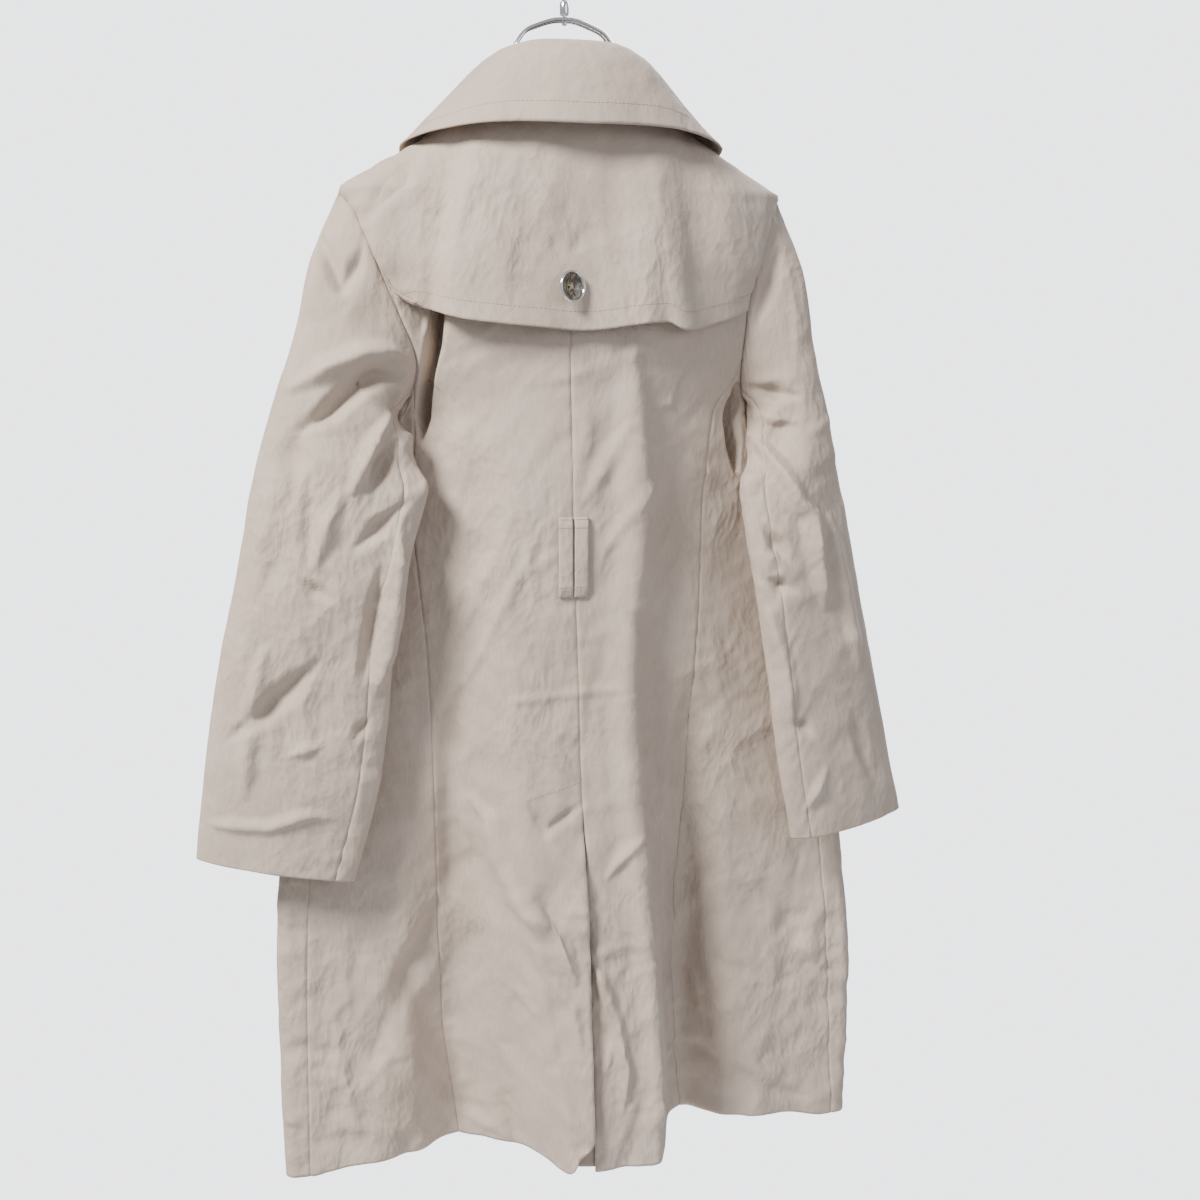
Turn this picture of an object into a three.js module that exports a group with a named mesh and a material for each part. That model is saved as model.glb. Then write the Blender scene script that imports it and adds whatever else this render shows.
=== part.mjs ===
import * as THREE from "three";

// A single-breasted cotton trench coat on a double wire hanger, seen at rest on its hook.
// Millimetres, +Z up. The origin is the underside of the hook's crown, where the hanger hangs.
// The coat's back faces -Y, its front +Y, and its right-hand side is at +X.

// ---- Driving dimensions ----
const cloth = 2; // wall: shell cloth with its turned-in allowances
const seamGap = 0.3; // between two pieces that are sewn together
const layerGap = 0.5; // between two layers that lie on each other

const hem = -1030;
const ventTop = -690;
const breakPoint = -430; // where the lapels start to roll
const armpit = -386;
const shoulderTip = { x: 178, z: -209 };
const neckPoint = { x: 66, z: -142 };

// Heights round the armhole go by the angle of its ring: 0 at the shoulder, 180 at the armpit.
const armholeMiddle = (shoulderTip.z + armpit) / 2;
const armholeHalf = shoulderTip.z - armholeMiddle;
const armholeHeight = (degrees) => armholeMiddle + armholeHalf * Math.cos(THREE.MathUtils.degToRad(degrees));
const ringStep = 20; // degrees between the points of a sleeve's ring
const princessTop = armholeHeight(120); // where the princess seam runs into the armhole

const buttonWidth = 25;
const buttonHeight = 5;
const buttonSides = 20;

// Rings of the body from hem to armhole. left and right are the half widths to where the
// side turns, back and front the depths at the middle, edge the half depth of the side turn
// and, above the armpit, of the armhole. curve is low where the section is full.
const bodyRings = [
  { z: hem, left: 237, right: 250, back: 14, front: 58, edge: 11, curve: 1.5 },
  { z: -900, left: 239, right: 252, back: 18, front: 56, edge: 11, curve: 1.5 },
  { z: -790, left: 236, right: 243, back: 25, front: 54, edge: 11, curve: 1.5 },
  { z: -700, left: 226, right: 230, back: 31, front: 52, edge: 10, curve: 1.5 },
  { z: -600, left: 207, right: 210, back: 38, front: 50, edge: 9, curve: 1.5 },
  { z: -500, left: 174, right: 180, back: 46, front: 48, edge: 8, curve: 1.5 },
  { z: -430, left: 141, right: 152, back: 52, front: 47, edge: 7, curve: 1.4 },
  { z: armpit, left: 139, right: 150, back: 55, front: 46, edge: 6, curve: 1.3 },
  { z: -346, left: 127, right: 145, back: 57, front: 46, edge: 19, curve: 1.15 },
  { z: -305, left: 139, right: 146, back: 58, front: 46, edge: 28, curve: 1 },
  { z: -266, left: 154, right: 155, back: 58, front: 46, edge: 28, curve: 0.8 },
  { z: -226, left: 169, right: 169, back: 56, front: 45, edge: 15, curve: 0.6 },
  { z: shoulderTip.z, left: shoulderTip.x, right: shoulderTip.x, back: 55, front: 44, edge: 0, curve: 0.5 },
  { z: neckPoint.z, left: neckPoint.x, right: neckPoint.x, back: 50, front: 44, edge: 0, curve: 0.5 },
];

// The broad fold that stands out of the lower back, with a foot and a crest on each side.
const backBulge = [
  { z: hem, leftFoot: -54, leftCrest: -6, rightCrest: 58, rightFoot: 96, rise: 66 },
  { z: -960, leftFoot: -64, leftCrest: -16, rightCrest: 58, rightFoot: 94, rise: 62 },
  { z: -900, leftFoot: -74, leftCrest: -26, rightCrest: 56, rightFoot: 90, rise: 54 },
  { z: -820, leftFoot: -86, leftCrest: -34, rightCrest: 50, rightFoot: 84, rise: 43 },
  { z: -720, leftFoot: -102, leftCrest: -42, rightCrest: 40, rightFoot: 76, rise: 30 },
  { z: -620, leftFoot: -112, leftCrest: -48, rightCrest: 34, rightFoot: 70, rise: 18 },
  { z: -500, leftFoot: -120, leftCrest: -60, rightCrest: 44, rightFoot: 82, rise: 9 },
  { z: -400, leftFoot: -120, leftCrest: -60, rightCrest: 40, rightFoot: 84, rise: 3 },
  { z: -330, leftFoot: -120, leftCrest: -60, rightCrest: 38, rightFoot: 84, rise: 0 },
];

// Smaller folds, each along a line from its upper to its lower end. rise is outwards, and a
// fold that reaches the hem stays open there.
const backFolds = [
  { topX: -112, topZ: -600, lowX: -98, lowZ: hem, reach: 44, rise: -26, open: true },
  { topX: 98, topZ: -560, lowX: 110, lowZ: hem, reach: 38, rise: -27, open: true },
  { topX: -150, topZ: -760, lowX: -170, lowZ: hem, reach: 34, rise: 9, open: true },
  { topX: 150, topZ: -800, lowX: 176, lowZ: hem, reach: 32, rise: 8, open: true },
  { topX: 40, topZ: -340, lowX: 46, lowZ: -560, reach: 24, rise: 6, open: false },
  { topX: -70, topZ: -360, lowX: -88, lowZ: -620, reach: 26, rise: -5, open: false },
  { topX: -78, topZ: -690, lowX: -14, lowZ: -880, reach: 16, rise: 5, open: false },
];
const frontFolds = [
  { topX: -110, topZ: -520, lowX: -140, lowZ: hem, reach: 46, rise: 15, open: true },
  { topX: 96, topZ: -560, lowX: 128, lowZ: hem, reach: 44, rise: 14, open: true },
  { topX: -80, topZ: -640, lowX: -84, lowZ: hem, reach: 34, rise: -11, open: true },
  { topX: 82, topZ: -700, lowX: 84, lowZ: hem, reach: 30, rise: -9, open: true },
  { topX: 190, topZ: -760, lowX: 200, lowZ: hem, reach: 26, rise: 7, open: true },
];

// Seams of the back, as the distance from the middle at each height.
const seamRows = [
  { z: hem, centre: 5, left: -97, right: 107, leftSide: -228, rightSide: 246 },
  { z: -940, centre: 4, left: -106, right: 101, leftSide: -227, rightSide: 242 },
  { z: -850, centre: 4, left: -112, right: 99, leftSide: -225, rightSide: 236 },
  { z: ventTop, centre: 0, left: -117, right: 102, leftSide: -214, rightSide: 219 },
  { z: -580, centre: -2, left: -121, right: 106, leftSide: -199, rightSide: 204 },
  { z: -460, centre: -6, left: -130, right: 112, leftSide: -158, rightSide: 168 },
  { z: armpit, centre: -7, left: -126, right: 118, leftSide: -144, rightSide: 155 },
  { z: princessTop, centre: -8, left: -117, right: 137, leftSide: -144, rightSide: 155 },
  { z: neckPoint.z, centre: -6, left: -117, right: 137, leftSide: -144, rightSide: 155 },
];

// Hem of the storm flap from left to right, and how far it stands off the back there.
const flapHem = [
  { x: -139, z: -305, standOff: 3 },
  { x: -114, z: -301, standOff: 11 },
  { x: -86, z: -307, standOff: 18 },
  { x: -32, z: -315, standOff: 12 },
  { x: 0, z: -318, standOff: 5 },
  { x: 49, z: -312, standOff: 13 },
  { x: 66, z: -311, standOff: 9 },
  { x: 79, z: -316, standOff: 13 },
  { x: 118, z: -310, standOff: 5 },
  { x: 146, z: -301, standOff: 0 },
];

// The collar at each angle round the neck, 0 at the back: the rise of the stand from the
// neck seam to the fold, how far the fall reaches out and how far it drops, and the dip of
// the neck seam towards the front.
const collarRows = [
  { angle: 0, standRise: 41, fallOut: 33, fallDrop: 66, neckDip: 0 },
  { angle: 25, standRise: 41, fallOut: 34, fallDrop: 65, neckDip: 0 },
  { angle: 50, standRise: 40, fallOut: 47, fallDrop: 63, neckDip: 0 },
  { angle: 75, standRise: 38, fallOut: 65, fallDrop: 65, neckDip: 0 },
  { angle: 95, standRise: 35, fallOut: 71, fallDrop: 67, neckDip: 0 },
  { angle: 115, standRise: 20, fallOut: 72, fallDrop: 84, neckDip: 0 },
  { angle: 135, standRise: 8, fallOut: 68, fallDrop: 106, neckDip: 9 },
];
const standEnd = 106;
const fallEnd = 135;

// Sleeves as flattened tubes: the outer and inner edge of each ring, and its half depth.
const sleeveRings = {
  left: [
    { outerX: -203, outerY: -10, outerZ: -262, innerX: -150, innerY: -4, innerZ: -400, depth: 30 },
    { outerX: -219, outerY: -20, outerZ: -322, innerX: -143, innerY: -17, innerZ: -418, depth: 27 },
    { outerX: -240, outerY: -26, outerZ: -385, innerX: -131, innerY: -33, innerZ: -435, depth: 24 },
    { outerX: -255, outerY: -28, outerZ: -438, innerX: -126, innerY: -46, innerZ: -457, depth: 24 },
    { outerX: -269, outerY: -28, outerZ: -505, innerX: -137, innerY: -51, innerZ: -500, depth: 23 },
    { outerX: -284, outerY: -28, outerZ: -572, innerX: -149, innerY: -48, innerZ: -556, depth: 21 },
    { outerX: -295, outerY: -28, outerZ: -630, innerX: -155, innerY: -46, innerZ: -624, depth: 19 },
    { outerX: -303, outerY: -27, outerZ: -687, innerX: -167, innerY: -44, innerZ: -692, depth: 17 },
    { outerX: -309, outerY: -26, outerZ: -733, innerX: -186, innerY: -42, innerZ: -757, depth: 15 },
  ],
  right: [
    { outerX: 203, outerY: -10, outerZ: -270, innerX: 161, innerY: -5, innerZ: -400, depth: 23 },
    { outerX: 218, outerY: -15, outerZ: -340, innerX: 157, innerY: -14, innerZ: -413, depth: 22 },
    { outerX: 232, outerY: -18, outerZ: -396, innerX: 149, innerY: -30, innerZ: -432, depth: 23 },
    { outerX: 241, outerY: -18, outerZ: -440, innerX: 141, innerY: -46, innerZ: -457, depth: 24 },
    { outerX: 252, outerY: -18, outerZ: -490, innerX: 143, innerY: -58, innerZ: -496, depth: 24 },
    { outerX: 268, outerY: -18, outerZ: -563, innerX: 152, innerY: -58, innerZ: -545, depth: 22 },
    { outerX: 282, outerY: -18, outerZ: -625, innerX: 162, innerY: -56, innerZ: -612, depth: 20 },
    { outerX: 297, outerY: -17, outerZ: -693, innerX: 174, innerY: -54, innerZ: -688, depth: 18 },
    { outerX: 307, outerY: -16, outerZ: -737, innerX: 187, innerY: -50, innerZ: -748, depth: 16 },
  ],
};
const backSleeveSeam = 140; // degrees round the sleeve: 0 on its outer line, 90 at the back
const frontSleeveSeam = 220;

// Dents and ridges of the sleeves: degrees round, place along (0 armhole, 9 cuff), reaches.
const sleeveFolds = {
  left: [
    { angle: 130, along: 2.6, angleReach: 42, alongReach: 0.5, rise: -9 },
    { angle: 88, along: 3.1, angleReach: 34, alongReach: 0.6, rise: 6 },
    { angle: 60, along: 1.5, angleReach: 30, alongReach: 0.8, rise: -5 },
    { angle: 100, along: 6.6, angleReach: 36, alongReach: 0.8, rise: -5 },
  ],
  right: [
    { angle: 128, along: 2.4, angleReach: 40, alongReach: 0.45, rise: -8 },
    { angle: 96, along: 3.4, angleReach: 32, alongReach: 0.7, rise: 5 },
    { angle: 92, along: 5.2, angleReach: 34, alongReach: 0.7, rise: -5 },
  ],
};

// ---- Interpolation ----
const clamp01 = (t) => Math.min(1, Math.max(0, t));
const smooth = (from, to, at) => {
  const t = clamp01((at - from) / (to - from));
  return t * t * (3 - 2 * t);
};
const mix = (a, b, t) => a + (b - a) * t;
const quarter = Math.PI / 2;
const radians = THREE.MathUtils.degToRad;

// Value of a table column at a place between its rows, without overshoot.
function rowValue(rows, key, column, at) {
  const ascending = rows[0][key] < rows[rows.length - 1][key];
  const ordered = ascending ? rows : [...rows].reverse();
  const last = ordered.length - 1;
  if (at <= ordered[0][key]) return ordered[0][column];
  if (at >= ordered[last][key]) return ordered[last][column];
  let low = 0;
  while (at > ordered[low + 1][key]) low += 1;
  const slope = (index) =>
    (ordered[index + 1][column] - ordered[index][column]) / (ordered[index + 1][key] - ordered[index][key]);
  const tangent = (index) => {
    if (index === 0) return slope(0);
    if (index === last) return slope(last - 1);
    const before = slope(index - 1);
    const after = slope(index);
    return before * after <= 0 ? 0 : (2 * before * after) / (before + after);
  };
  const span = ordered[low + 1][key] - ordered[low][key];
  const t = (at - ordered[low][key]) / span;
  const t2 = t * t;
  const t3 = t2 * t;
  return (
    (2 * t3 - 3 * t2 + 1) * ordered[low][column] +
    (t3 - 2 * t2 + t) * span * tangent(low) +
    (3 * t2 - 2 * t3) * ordered[low + 1][column] +
    (t3 - t2) * span * tangent(low + 1)
  );
}

// ---- The body's surface ----
// ring runs round the body: 0 at the centre back, 1 at the right side and 2 at the centre
// front, and the same with a minus sign round the left side.
const sideTurn = 0.07; // share of a quarter that the side turn takes below the armpit
const turned = (z) => 1 - smooth(armpit, -366, z); // 1 where the side is closed, 0 at the armhole

function flatWidth(side, z) {
  if (z > shoulderTip.z) {
    const up = clamp01((z - shoulderTip.z) / (neckPoint.z - shoulderTip.z));
    return mix(shoulderTip.x, neckPoint.x, up);
  }
  return rowValue(bodyRings, "z", side < 0 ? "left" : "right", z);
}

function foldRise(folds, x, z) {
  let rise = 0;
  for (const fold of folds) {
    const along = (fold.topZ - z) / (fold.topZ - fold.lowZ);
    if (along <= 0 || (along > 1 && !fold.open)) continue;
    const across = (x - mix(fold.topX, fold.lowX, clamp01(along))) / fold.reach;
    if (Math.abs(across) >= 1) continue;
    const strength = fold.open ? smooth(0, 0.85, along) : Math.sin(Math.PI * along) ** 2;
    rise += fold.rise * strength * Math.cos(across * quarter) ** 2;
  }
  return rise;
}

function bulgeRise(x, z) {
  const row = (column) => rowValue(backBulge, "z", column, z);
  const left = smooth(row("leftFoot"), row("leftCrest"), x);
  const right = 1 - smooth(row("rightCrest"), row("rightFoot"), x);
  return row("rise") * left * right;
}

function bodyPoint(ring, z) {
  const side = Math.sign(ring) || 1;
  const isBack = Math.abs(ring) <= 1;
  const toSide = isBack ? Math.abs(ring) : 2 - Math.abs(ring);
  const flat = flatWidth(side, z);
  const edge = z > shoulderTip.z ? 0 : rowValue(bodyRings, "z", "edge", z);
  const turn = sideTurn * turned(z);
  const face = isBack ? -1 : 1;
  let x;
  let y;
  if (toSide <= 1 - turn) {
    const across = Math.sin((quarter * toSide) / (1 - turn));
    const depth = rowValue(bodyRings, "z", isBack ? "back" : "front", z);
    const curve = rowValue(bodyRings, "z", "curve", z);
    x = side * flat * across;
    const fade = 1 - Math.abs(across) ** 6;
    const folds = isBack ? foldRise(backFolds, x, z) + bulgeRise(x, z) : foldRise(frontFolds, x, z);
    y = face * (edge + (depth - edge) * Math.max(0, 1 - across * across) ** curve + folds * fade);
  } else {
    const angle = (quarter * turned(z) * (toSide - 1 + turn)) / turn;
    x = side * (flat + edge * Math.sin(angle));
    y = face * edge * Math.cos(angle);
  }
  const lift = 12 * (1 - smooth(0.4, 0.75, toSide)) * (1 - smooth(hem, -900, z));
  return new THREE.Vector3(x, y, z + lift);
}

function bodyNormal(ring, z) {
  const open = z > armpit && z < shoulderTip.z;
  if (open && Math.abs(Math.abs(ring) - 1) < 1e-6) return armholeNormal(z, ring > 1 || ring < -1 ? 1 : -1);
  const step = 2e-3;
  const inside = Math.abs(ring) <= 1;
  const limit = (value) => {
    if (!open) return value;
    const size = Math.abs(value);
    return Math.sign(value || 1) * (inside ? Math.min(size, 1) : Math.max(size, 1 + 1e-7));
  };
  const alongRing = bodyPoint(limit(ring + step), z).sub(bodyPoint(limit(ring - step), z));
  const alongZ = bodyPoint(ring, z + 0.6).sub(bodyPoint(ring, z - 0.6));
  return alongRing.cross(alongZ).normalize();
}

// At the armhole both the body and the sleeve end square to the seam's own plane.
function armholeNormal(z, face) {
  const cosine = Math.max(-1, Math.min(1, (z - armholeMiddle) / armholeHalf));
  const sine = Math.sqrt(Math.max(0, 1 - cosine * cosine));
  return new THREE.Vector3(0, face * sine, cosine);
}

// Ring value where the back or front surface reaches a distance x from the middle.
function ringAt(x, z) {
  const side = Math.sign(x) || 1;
  const flat = flatWidth(side, z);
  const edge = z > shoulderTip.z ? 0 : rowValue(bodyRings, "z", "edge", z);
  const turn = sideTurn * turned(z);
  const size = Math.abs(x);
  if (size <= flat) return (side * Math.asin(size / flat) * (1 - turn)) / quarter;
  const reach = clamp01((size - flat) / edge);
  return side * (1 - turn + (turn * Math.asin(reach)) / (quarter * Math.max(turned(z), 1e-6)));
}

// ---- Walls ----
// A closed wall over a grid of points. at(column, row) gives its outer and its inner point.
function wall(columns, rows, at) {
  const positions = [];
  const outer = (c, r) => (c * (rows + 1) + r) * 2;
  const inner = (c, r) => outer(c, r) + 1;
  for (let c = 0; c <= columns; c += 1) {
    for (let r = 0; r <= rows; r += 1) {
      const { point, back } = at(c / columns, r / rows, c, r);
      positions.push(point.x, point.y, point.z, back.x, back.y, back.z);
    }
  }
  const index = [];
  const quad = (a, b, c, d) => index.push(a, b, c, a, c, d);
  for (let c = 0; c < columns; c += 1) {
    for (let r = 0; r < rows; r += 1) {
      quad(outer(c, r), outer(c + 1, r), outer(c + 1, r + 1), outer(c, r + 1));
      quad(inner(c, r), inner(c, r + 1), inner(c + 1, r + 1), inner(c + 1, r));
    }
    quad(outer(c, 0), inner(c, 0), inner(c + 1, 0), outer(c + 1, 0));
    quad(outer(c, rows), outer(c + 1, rows), inner(c + 1, rows), inner(c, rows));
  }
  for (let r = 0; r < rows; r += 1) {
    quad(outer(0, r), outer(0, r + 1), inner(0, r + 1), inner(0, r));
    quad(outer(columns, r), inner(columns, r), inner(columns, r + 1), outer(columns, r + 1));
  }
  const geometry = new THREE.BufferGeometry();
  geometry.setAttribute("position", new THREE.Float32BufferAttribute(positions, 3));
  geometry.setIndex(index);
  geometry.computeVertexNormals();
  return geometry;
}

// Heights of the body's rows, shared by its panels so that they meet point to point.
function steps(from, to, count) {
  return Array.from({ length: count }, (_, i) => mix(from, to, (i + 1) / count));
}
const rowHeights = [
  hem,
  ...steps(hem, -900, 4),
  ...steps(-900, ventTop, 5),
  ...steps(ventTop, armpit, 7),
  ...steps(180, 0, 180 / ringStep).map(armholeHeight),
  ...steps(shoulderTip.z, neckPoint.z, 4),
];
const rowsUpTo = (top) => rowHeights.filter((z) => z < top + 1e-6);

// A panel of the body between two ring values at each height, moved out by lift.
function bodyPanel({ from, to, columns, rows = rowHeights, lift = () => 0 }) {
  return wall(columns, rows.length - 1, (u, v, c, r) => {
    const z = rows[r];
    const start = from(z);
    const end = to(z);
    const half = mix(start, end, 0.5);
    const perStep = bodyPoint(half + 0.005, z).distanceTo(bodyPoint(half - 0.005, z));
    const inset = (seamGap / 2) * (0.01 / perStep);
    const atArmhole = (ring) => Math.abs(Math.abs(ring) - 1) < 1e-6 && z > armpit;
    const first = atArmhole(start) ? start : start + inset;
    const final = atArmhole(end) ? end : end - inset;
    const ring = mix(first, final, u);
    const normal = bodyNormal(ring, z);
    const point = bodyPoint(ring, z).addScaledVector(normal, lift(ring, z));
    return { point, back: point.clone().addScaledVector(normal, -cloth) };
  });
}

const seamRing = (column) => (z) => {
  const x = rowValue(seamRows, "z", column, z);
  const side = Math.sign(x) || 1;
  if (column.endsWith("Side") && z >= armpit) return side;
  return ringAt(x, z);
};

// Above the princess seam's end the back panel reaches the armhole.
const backEdge = (side) => (z) => (z > princessTop + 1e-6 ? side : seamRing(side < 0 ? "left" : "right")(z));

// The vent's left edge laps over the right one, which is folded back to an underlap.
const ventLap = { over: 0, under: 6, width: 34 };
const ventRing = (shift) => (z) =>
  ringAt(rowValue(seamRows, "z", "centre", z) + shift * smooth(ventTop, ventTop - 60, z), z);

function backPanel(side) {
  const edge = backEdge(side);
  const centre = ventRing(side < 0 ? ventLap.over : ventLap.under);
  return bodyPanel({
    from: side < 0 ? edge : centre,
    to: side < 0 ? centre : edge,
    columns: 8,
    rows: [...rowHeights, princessTop + seamGap].sort((a, b) => a - b),
  });
}

function sideBackPanel(side) {
  const princess = seamRing(side < 0 ? "left" : "right");
  const sideSeam = seamRing(side < 0 ? "leftSide" : "rightSide");
  return bodyPanel({
    from: side < 0 ? sideSeam : princess,
    to: side < 0 ? princess : sideSeam,
    columns: 5,
    rows: rowsUpTo(princessTop),
  });
}

function ventUnderlap() {
  const depthIn = (ring, z) => {
    const behind = smooth(ringAt(12, z), ringAt(-6, z), ring);
    return -(cloth + layerGap) - 3 * behind;
  };
  return bodyPanel({
    from: (z) => ringAt(rowValue(seamRows, "z", "centre", z) - ventLap.width, z),
    to: (z) => ringAt(rowValue(seamRows, "z", "centre", z) + 20, z),
    columns: 5,
    rows: rowsUpTo(ventTop).map((z) => Math.max(z, hem + 4)),
    lift: depthIn,
  });
}

// ---- Fronts and lapels ----
const overlap = 34; // each front passes the centre by this much
const rollTop = 60; // distance of the roll line from the middle at the neck

function rollLine(z) {
  const up = clamp01((z - breakPoint) / (neckPoint.z - breakPoint));
  return mix(-overlap, rollTop, up);
}

// Ring value of the front surface at a signed distance from the middle, from one side.
function frontRing(side, x, z) {
  const across = (side * x) / flatWidth(side, z);
  const turn = sideTurn * turned(z);
  return side * (2 - (Math.asin(Math.max(-1, Math.min(1, across))) * (1 - turn)) / quarter);
}

// The right front lies over the left one, and over its lapel where the two cross.
function frontLift(ring, z) {
  if (ring < 0) return 0;
  const x = bodyPoint(ring, z).x;
  const crossing = smooth(-560, -440, z) * (1 - smooth(-330, -250, z));
  const lap = cloth + layerGap + 2.4;
  return (lap + 4 * crossing) * (1 - smooth(52, 96, x)) * (1 - smooth(-330, -250, z) * 0.999);
}

function frontPanel(side) {
  const sideSeam = seamRing(side < 0 ? "leftSide" : "rightSide");
  const seam = (z) => (z >= armpit ? side * (1 + 1e-7) : sideSeam(z));
  const edge = (z) => frontRing(side, side * rollLine(z), z);
  return bodyPanel({
    from: side < 0 ? edge : seam,
    to: side < 0 ? seam : edge,
    columns: 9,
    lift: frontLift,
  });
}

const lapel = { low: breakPoint + 24, high: -216, lowWidth: 5, highWidth: 82, peak: 12 };

function lapelPanel(side) {
  return wall(4, 7, (u, v) => {
    const across = side < 0 ? u : 1 - u;
    const z = mix(lapel.low, lapel.high, v) + lapel.peak * across * v;
    const width = mix(lapel.lowWidth, lapel.highWidth, v ** 0.85);
    const x = rollLine(z) + across * width;
    const ring = frontRing(side, side * x, z);
    const normal = bodyNormal(ring, z);
    const off = cloth + 2 * layerGap + 2.5 * Math.sin(Math.PI * across) + 2 * across;
    const point = bodyPoint(ring, z).addScaledVector(normal, frontLift(ring, z) + off);
    return { point, back: point.clone().addScaledVector(normal, -cloth) };
  });
}

// ---- Storm flap ----
const flapWidth = 0.985; // share of the back's ring that it covers

const flapHemAt = (column, x) => rowValue(flapHem, "x", column, x);

function flapLift(ring, z) {
  const x = bodyPoint(ring, z).x;
  const low = flapHemAt("z", x);
  const drop = clamp01((-150 - z) / (-150 - low));
  const edgeFade = 1 - Math.abs(ring) ** 8;
  return cloth + 2.2 * layerGap + flapHemAt("standOff", x) * drop ** 2 * edgeFade;
}

function flapPoint(ring, z) {
  const normal = bodyNormal(ring, z);
  return bodyPoint(ring, z).addScaledVector(normal, flapLift(ring, z));
}

function flapNormal(ring, z) {
  const alongRing = flapPoint(ring + 1e-3, z).sub(flapPoint(ring - 1e-3, z));
  return alongRing.cross(flapPoint(ring, z + 1).sub(flapPoint(ring, z - 1))).normalize();
}

function stormFlap() {
  const columns = 18;
  const lowRows = 6;
  const highRows = 4;
  return wall(columns, lowRows + highRows, (u, v, c, r) => {
    const ring = mix(-flapWidth, flapWidth, u);
    const low = flapHemAt("z", bodyPoint(ring, -310).x);
    const z =
      r <= lowRows
        ? mix(low, shoulderTip.z, r / lowRows)
        : mix(shoulderTip.z, neckPoint.z - 2, (r - lowRows) / highRows);
    const point = flapPoint(ring, z);
    return { point, back: point.clone().addScaledVector(flapNormal(ring, z), -cloth) };
  });
}

// ---- Collar ----
const collarAt = (column, angle) => rowValue(collarRows, "angle", column, Math.abs(angle));

function neckSeam(angle) {
  const turn = radians(angle);
  const depth = Math.abs(angle) < 90 ? 50 : 44;
  const dip = collarAt("neckDip", angle);
  return new THREE.Vector3(neckPoint.x * Math.sin(turn), -depth * Math.cos(turn), neckPoint.z - dip);
}

function collarFold(angle) {
  const lean = 3;
  const point = neckSeam(angle);
  const out = new THREE.Vector3(Math.sin(radians(angle)), -Math.cos(radians(angle)), 0);
  return point.addScaledVector(out, -lean).add(new THREE.Vector3(0, 0, collarAt("standRise", angle)));
}

function standPoint(angle, up) {
  const low = neckSeam(angle).add(new THREE.Vector3(0, 0, 3 * seamGap));
  const high = collarFold(angle).add(new THREE.Vector3(0, 0, -4 * layerGap));
  return low.lerp(high, up);
}

function fallPoint(angle, down) {
  const out = new THREE.Vector3(Math.sin(radians(angle)), -Math.cos(radians(angle)), 0);
  const roll = 9 * Math.sin(Math.PI * down) * (1 - down);
  const reach = collarAt("fallOut", angle) * (0.25 * Math.sin(quarter * down) + 0.75 * down);
  const drop = collarAt("fallDrop", angle) * (0.7 * down + 0.3 * down * down);
  return collarFold(angle)
    .addScaledVector(out, reach + roll * 0.6 - cloth)
    .add(new THREE.Vector3(0, 0, cloth + seamGap + roll * 0.9 - drop));
}

function collarWall(surface, end, columns, rows, outward) {
  const step = 1e-2;
  return wall(columns, rows, (u, v) => {
    const angle = mix(-end, end, u);
    const across = outward > 0 ? v : (1 - v) ** 1.5;
    const point = surface(angle, across);
    const alongAngle = surface(angle + 0.5, across).sub(surface(angle - 0.5, across));
    const alongRow = surface(angle, across + step).sub(surface(angle, across - step));
    const normal = alongAngle.cross(alongRow).normalize().multiplyScalar(outward);
    return { point, back: point.clone().addScaledVector(normal, -cloth) };
  });
}

// ---- Sleeves ----
function armholePoint(side, angle) {
  const ring = angle <= 180 ? side : side * (1 + 1e-7);
  return bodyPoint(ring, armholeHeight(angle)).add(new THREE.Vector3(side * seamGap, 0, 0));
}

function sleeveRing(side, station, angle) {
  if (station <= 0) return armholePoint(side, angle);
  const rings = sleeveRings[side < 0 ? "left" : "right"];
  const row = rings[Math.min(station, rings.length) - 1];
  const outerEdge = new THREE.Vector3(row.outerX, row.outerY, row.outerZ);
  const innerEdge = new THREE.Vector3(row.innerX, row.innerY, row.innerZ);
  const half = outerEdge.clone().sub(innerEdge).multiplyScalar(0.5);
  const middle = outerEdge.clone().add(innerEdge).multiplyScalar(0.5);
  const across = new THREE.Vector3(side * half.y, -side * half.x, 0).normalize();
  return middle
    .addScaledVector(half, Math.cos(radians(angle)))
    .addScaledVector(across, row.depth * Math.sin(radians(angle)));
}

function sleeveSurface(side, angle, along) {
  const last = sleeveRings[side < 0 ? "left" : "right"].length;
  const low = Math.min(Math.floor(along), last - 1);
  const t = along - low;
  const before = sleeveRing(side, Math.max(low - 1, 0), angle);
  const start = sleeveRing(side, low, angle);
  const end = sleeveRing(side, low + 1, angle);
  const after = sleeveRing(side, Math.min(low + 2, last), angle);
  const curve = (a, b, c, d) =>
    0.5 * (2 * b + (c - a) * t + (2 * a - 5 * b + 4 * c - d) * t * t + (3 * b - a - 3 * c + d) * t ** 3);
  return new THREE.Vector3(
    curve(before.x, start.x, end.x, after.x),
    curve(before.y, start.y, end.y, after.y),
    curve(before.z, start.z, end.z, after.z),
  );
}

function sleevePoint(side, angle, along) {
  const wrapped = ((angle % 360) + 360) % 360;
  const point = sleeveSurface(side, wrapped, along);
  let rise = 0;
  for (const fold of sleeveFolds[side < 0 ? "left" : "right"]) {
    const round = (wrapped - fold.angle) / fold.angleReach;
    const down = (along - fold.along) / fold.alongReach;
    rise += fold.rise * Math.exp(-round * round - down * down);
  }
  const middle = sleeveSurface(side, 0, along).add(sleeveSurface(side, 180, along)).multiplyScalar(0.5);
  const out = point.clone().sub(middle);
  out.x *= 0.2;
  return point.addScaledVector(out.normalize(), rise);
}

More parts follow.
